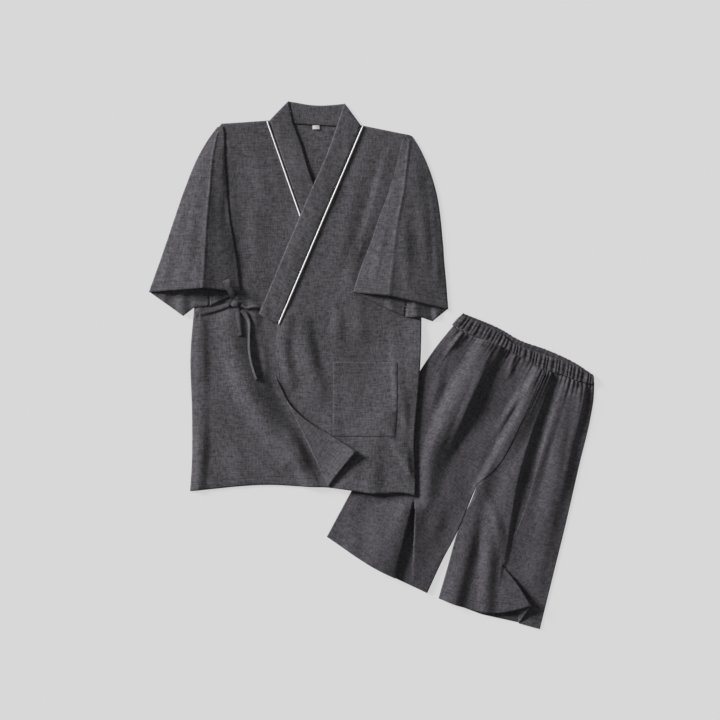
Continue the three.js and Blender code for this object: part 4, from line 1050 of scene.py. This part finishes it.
class Joined:
    """Two paths one after the other, met at a given share of the way."""

    def __init__(self, first, second, met):
        self.first, self.second, self.met = first, second, met

    def at(self, share):
        share = np.asarray(share, float)
        early = self.first.at(np.minimum(share / self.met, 1))
        late = self.second.at(np.maximum(share - self.met, 0) / (1 - self.met))
        return np.where((share < self.met)[..., None], early, late)


# The left leg's long fold: down its line to the apex, then its upper edge and the edge beneath it.
TUCK_LINE = [(356, -180), (322, -300), (273, -419)]
TUCK_TIP = [(273, -419), (304, -458), (334, -504)]
TUCK_FOOT = [(273, -419), (298, -480), (309, -543)]
TUCK_MET = 0.8  # share of the way down at which the apex lies
TUCK_AT = 6  # the waist's row above it


def left_leg_front():
    """The leg's front lies in one long fold: below the fold's apex its inner part passes over the outer
    one, and the cloth doubles back between them."""
    waist = [(x + 1.6, y + 4.0) for x, y in FRONT_WAIST]
    seam_top = (waist[CENTRE_AT][0] + SEAM / 2, waist[CENTRE_AT][1])
    inner = Path([seam_top, *((x + SEAM / 2, y) for x, y in CENTRE_SEAM[1:]), *LEFT_INSEAM], breaks=(3,))
    line = [waist[TUCK_AT], *TUCK_LINE]
    over = Joined(Path(line), Path(TUCK_TIP), TUCK_MET)
    below = Joined(Path(line), Path(TUCK_FOOT), TUCK_MET)
    rows = 190
    inner_hem = [(140.5, -490), (186, -507), (229, -518), (258, -521), (293, -516), TUCK_TIP[-1]]
    outer_hem = [TUCK_FOOT[-1], (353, -555)]

    s1, t1 = unit_grid(rows, 70)
    left = coons(Path([seam_top, waist[TUCK_AT]]), Path(inner_hem), inner, over, s1, t1)
    s3, t3 = unit_grid(rows, 52)
    outside = Path([waist[-1], *LEFT_LEG_OUTSIDE[1:]])
    right = coons(Path(waist[TUCK_AT:]), Path(outer_hem), below, outside, s3, t3)
    share = np.linspace(0, 1, 14)[None, 1:-1, None]
    between = over.at(t1[:, 0])[:, None] * (1 - share) + below.at(t1[:, 0])[:, None] * share

    far_down = smoothstep(t1, TUCK_MET, 1.0)
    to_fold = np.linalg.norm(left - left[:, -1:], axis=-1)
    lift = (11.0 * far_down ** 1.2 * np.exp(-(to_fold / 62) ** 2)
            + 1.5 * smoothstep(t1, TUCK_MET - 0.01, TUCK_MET + 0.03))
    z_left = shorts_front_bed(left[..., 0], left[..., 1]) + lift
    z_right = shorts_front_bed(right[..., 0], right[..., 1])
    low = 1.6 + 0.6 * smoothstep(t3, TUCK_MET, 1)
    settle = smoothstep(t3, TUCK_MET - 0.02, TUCK_MET + 0.08) * np.exp(-(s3 * 44 / 30) ** 2)
    z_right = z_right + (low - z_right) * settle
    fold = share[..., 0]
    z_between = z_left[:, -1:] * (1 - fold) + z_right[:, :1] * fold
    plan = np.concatenate([left, between, right], axis=1)
    z = np.concatenate([z_left, z_between, z_right], axis=1)
    pleats = gathers(plan, 77)
    z = np.maximum(z + pleats, WALL + 0.1)
    widths, lengths = run_lengths(plan)
    z = z + (3.2 - z) * (1 - smoothstep(lengths, 0, 9))
    middle = with_height(plan, z)
    hem_line = np.abs(nearest([*inner_hem, *outer_hem], plan[..., 0], plan[..., 1])[0])
    hem_line = np.where(t1[:, :1] > 0.5, hem_line, FAR_FROM_STITCHES)
    outer, inner_face = faces_of(middle, CLOTH)
    weave = np.stack([widths * 1.2, lengths], axis=-1)
    return show("shorts_left_leg_front_cloth",
                [{"outer": outer, "inner": inner_face, "weave": weave, "stitch": hem_line - HEM_STITCHES}],
                SHADED_SHORTS_CHARCOAL, "charcoal_chambray", "shorts_left_leg_front")


def leg(side, layer):
    """Either panel of the right leg, or the back of the left one."""
    front = layer == "front"
    right_leg = side == "right"
    tuck = 4.0 if front else -WAIST_STEP
    waist = [(x + 0.4 * tuck, y + tuck) for x, y in FRONT_WAIST]
    shift = -SEAM / 2 if right_leg else SEAM / 2
    seam_top = (waist[CENTRE_AT][0] + shift, waist[CENTRE_AT][1])
    inseam = RIGHT_INSEAM if right_leg else LEFT_INSEAM
    inner = Path([seam_top, *((x + shift, y) for x, y in CENTRE_SEAM[1:]), *inseam], breaks=(3,))
    s, t = unit_grid(*((190, 96) if front else (90, 40)))
    if right_leg:
        hem = RIGHT_LEG_HEM
        plan = coons(Path([*waist[:CENTRE_AT], seam_top]), Path(hem),
                     Path([waist[0], *RIGHT_LEG_OUTSIDE[1:]]), inner, s, t)
    else:
        hem = LEFT_BACK_HEM
        plan = coons(Path([seam_top, *waist[CENTRE_AT + 1:]]), Path(hem, smooth=False), inner,
                     Path([waist[-1], *LEFT_LEG_OUTSIDE[1:]]), s, t)
    x, y = plan[..., 0], plan[..., 1]
    over_hem = np.abs(nearest(hem, x, y)[0])
    widths, lengths = run_lengths(plan)
    weave = np.stack([(s - 0.5) * widths[:, -1:].mean() * 1.25, lengths], axis=-1)
    if front:
        under = shorts_front_bed(x, y)
        under = np.maximum(under + gathers(plan, 71), WALL + 0.1)
        under = under + (3.2 - under) * (1 - smoothstep(lengths, 0, 9))
    else:
        under = np.zeros(x.shape)
    return show(f"shorts_{side}_leg_{layer}_cloth",
                [settled(plan, under, CLOTH + np.maximum(hem_swell(over_hem), -0.4), weave=weave,
                         stitch=over_hem - HEM_STITCHES)],
                SHADED_SHORTS_CHARCOAL, "charcoal_chambray", f"shorts_{side}_leg_{layer}")


WAIST_FRONT = [
    (191.5, 105, 171, 82), (229.1, 86.1, 215, 61.2), (273.2, 65.1, 262, 43.8), (294.2, 46.8, 290, 30.0),
    (321.5, 35.7, 318, 13.7), (361.6, 21, 356, -8.5), (401.3, 9.2, 398, -20.2), (436.2, -6.3, 432, -33.6),
    (464, -24, 463, -40),
]
WAIST_BACK = [
    (464, -21, 462, -39.6), (430, 2.1, 424, -27), (369.8, 30.7, 360, 9), (306.8, 53.6, 297, 32),
    (273.2, 73.5, 263, 52), (192.5, 108, 172, 85),
]


def waistband():
    share = np.linspace(0, 1, 3)[None, :, None]

    def lay(run, z):
        rows = np.array(run, float)
        plan = rows[:, None, :2] * (1 - share) + rows[:, None, 2:] * share
        return with_height(plan, np.broadcast_to(z, plan.shape[:2]))

    def turn(upper, lower, outward):
        radius = (upper[:, 2] - lower[:, 2]) / 2
        tip = (upper + lower) / 2
        tip[:, 0] += outward * radius * 0.9
        tip[:, 1] -= outward * radius * 0.43
        return tip[None]

    front = lay(WAIST_FRONT, (BAND_FRONT_Z + 1.6, BAND_FRONT_Z + 1.8, BAND_FRONT_Z + 0.6))
    back = lay(WAIST_BACK, (5.6, 1.6, BAND / 2))
    rows = np.concatenate([front, turn(front[-1], back[0], 1), back, turn(front[0], back[-1], -1), front[:1]])
    end = len(front)
    far = end + 1 + len(back)
    corners = (end - 1, end, end + 1, far - 1, far)
    fine = np.array([smoothed(rows[:, j], each=26, breaks=corners) for j in range(3)])
    fine = fine.transpose(1, 0, 2)[:-1]
    columns = 13
    across = np.linspace(0, 2, columns)
    lower = np.minimum(1, np.floor(across)).astype(int)
    mix = (across - lower)[None, :, None]
    middle = fine[:, lower] * (1 - mix) + fine[:, lower + 1] * mix
    lengths = np.concatenate([[0], np.linalg.norm(np.diff(fine[:, 1], axis=0), axis=1).cumsum()])
    warped = lengths + 3.0 * ripples(lengths, 0 * lengths, 81, 30, 1)
    pleat = (np.cos(2 * np.pi * warped / GATHER_PITCH)[:, None]
             + 0.5 * ripples(lengths[:, None], across[None] * 12, 82, 14, 30))
    edge = np.linspace(0, 1, columns)[None]
    on_front = (np.arange(len(middle)) <= 26 * (end - 1))[:, None]
    depth = np.where(on_front, 1.15, 0.4)
    rows_of_stitches = np.exp(-((edge - 0.33) / 0.06) ** 2) + np.exp(-((edge - 0.66) / 0.06) ** 2)
    middle[..., 2] += (depth * pleat * (0.55 + 0.45 * np.sin(np.pi * edge))
                       - np.where(on_front, 0.5, 0) * rows_of_stitches)
    middle[..., 2] = np.maximum(middle[..., 2], BAND / 2)
    bulge = 0.9 * np.sin(2 * np.pi * warped / GATHER_PITCH + 0.7)[:, None] * (edge - 0.5)
    middle[..., 1] += bulge
    outer, inner = faces_of(middle, BAND * 0.8, ring=True)
    weave = np.stack(np.broadcast_arrays(lengths[:, None], edge * 25), axis=-1)
    stitch = np.minimum(np.abs(edge - 0.33), np.abs(edge - 0.66)) * 25
    return show("shorts_waistband_cloth",
                [{"outer": outer, "inner": inner, "weave": weave, "ring": True,
                  "stitch": np.broadcast_to(stitch, middle.shape[:2])}],
                SHADED_SHORTS_CHARCOAL, "charcoal_chambray", "shorts_waistband")


# ------------------------------------------------------------------------------------------------------
# The set
# ------------------------------------------------------------------------------------------------------
back = jacket_back()
right_front = inner_front()
left_front = outer_front()
right_sleeve = sleeve("jacket_right_sleeve_cloth", RIGHT_SLEEVE, RIGHT_SIDE, inner_front_bed,
                      "jacket_right_sleeve", 21)
left_sleeve = sleeve("jacket_left_sleeve_cloth", LEFT_SLEEVE, LEFT_SIDE, outer_front_bed,
                     "jacket_left_sleeve", 22)
band = collar()
left_piping = piping("jacket_left_piping_cord", (-20, 504), (-197.6, 85.6), 1, outer_front_bed,
                     "jacket_left_piping")
right_piping = piping("jacket_right_piping_cord", (-218.2, 513), (-138.5, 285), -1, inner_front_bed,
                      "jacket_right_piping")
patch_pocket = pocket()
neck_label = label()
side_tie = tie("jacket_side_tie_ribbon", SIDE_TIE, "jacket_side_tie", seed=51)
tie_loop = tie("jacket_side_tie_loop_ribbon", TIE_LOOP, "jacket_side_tie_loop", seed=52, heading=LOOP_HEADING)
short_tail = tie("jacket_side_tie_tail_ribbon", SHORT_TAIL, "jacket_side_tie_tail", seed=53)
front_tie = tie("jacket_front_tie_ribbon", FRONT_TIE, "jacket_front_tie", seed=54)
long_tail = tie("jacket_front_tie_tail_ribbon", LONG_TAIL, "jacket_front_tie_tail", seed=55)
knot()
legs = {("right", "back"): leg("right", "back"), ("right", "front"): leg("right", "front"),
        ("left", "back"): leg("left", "back"), ("left", "front"): left_leg_front()}
waist = waistband()

# ------------------------------------------------------------------------------------------------------
# Floor, light and camera
# ------------------------------------------------------------------------------------------------------
FLOOR_REACH = 6.0
FLOOR_Z = -0.0004
FLOOR_GLOW = 0.60
SUN_ENERGY = 5.0
SUN_ANGLE = 18
SUN_FROM = (-0.82, 0.45, 0.35)
SKY = 0.16
CAMERA_LENS = 85
CAMERA_SENSOR = 36
CAMERA_AT = (-0.025, 0.0105, 3.575)

floor_mesh = bpy.data.meshes.new("floor")
floor_mesh.from_pydata([(FLOOR_REACH * x, FLOOR_REACH * y, FLOOR_Z)
                        for x, y in ((-1, -1), (1, -1), (1, 1), (-1, 1))], [], [(0, 1, 2, 3)])
floor = bpy.data.objects.new("floor", floor_mesh)
bpy.context.scene.collection.objects.link(floor)
paper = Graph("floor_paper")
grain = paper.noise(paper.add("ShaderNodeTexCoord").outputs["Object"], detail=2)
paper.put(paper.shader.inputs["Base Color"],
          paper.mix(grain, (0.118, 0.118, 0.118, 1), (0.122, 0.122, 0.122, 1)))
paper.shader.inputs["Emission Color"].default_value = (1, 1, 1, 1)
paper.shader.inputs["Emission Strength"].default_value = FLOOR_GLOW
paper.shader.inputs["Roughness"].default_value = 1.0
paper.shader.inputs["Specular IOR Level"].default_value = 0.0
floor_mesh.materials.append(paper.material)

sun_data = bpy.data.lights.new("key", "SUN")
sun_data.energy = SUN_ENERGY
sun_data.angle = math.radians(SUN_ANGLE)
sun = bpy.data.objects.new("key", sun_data)
bpy.context.scene.collection.objects.link(sun)
sun.rotation_mode = "QUATERNION"
sun.rotation_quaternion = Vector(SUN_FROM).to_track_quat("Z", "Y")
world = bpy.data.worlds.new("studio")
world.use_nodes = True
world.node_tree.nodes["Background"].inputs["Color"].default_value = (1, 1, 1, 1)
world.node_tree.nodes["Background"].inputs["Strength"].default_value = SKY
bpy.context.scene.world = world
bpy.context.scene.view_settings.view_transform = "Standard"

camera_data = bpy.data.cameras.new("camera")
camera_data.lens = CAMERA_LENS
camera_data.sensor_width = CAMERA_SENSOR
camera = bpy.data.objects.new("camera", camera_data)
bpy.context.scene.collection.objects.link(camera)
camera.location = CAMERA_AT
bpy.context.scene.camera = camera
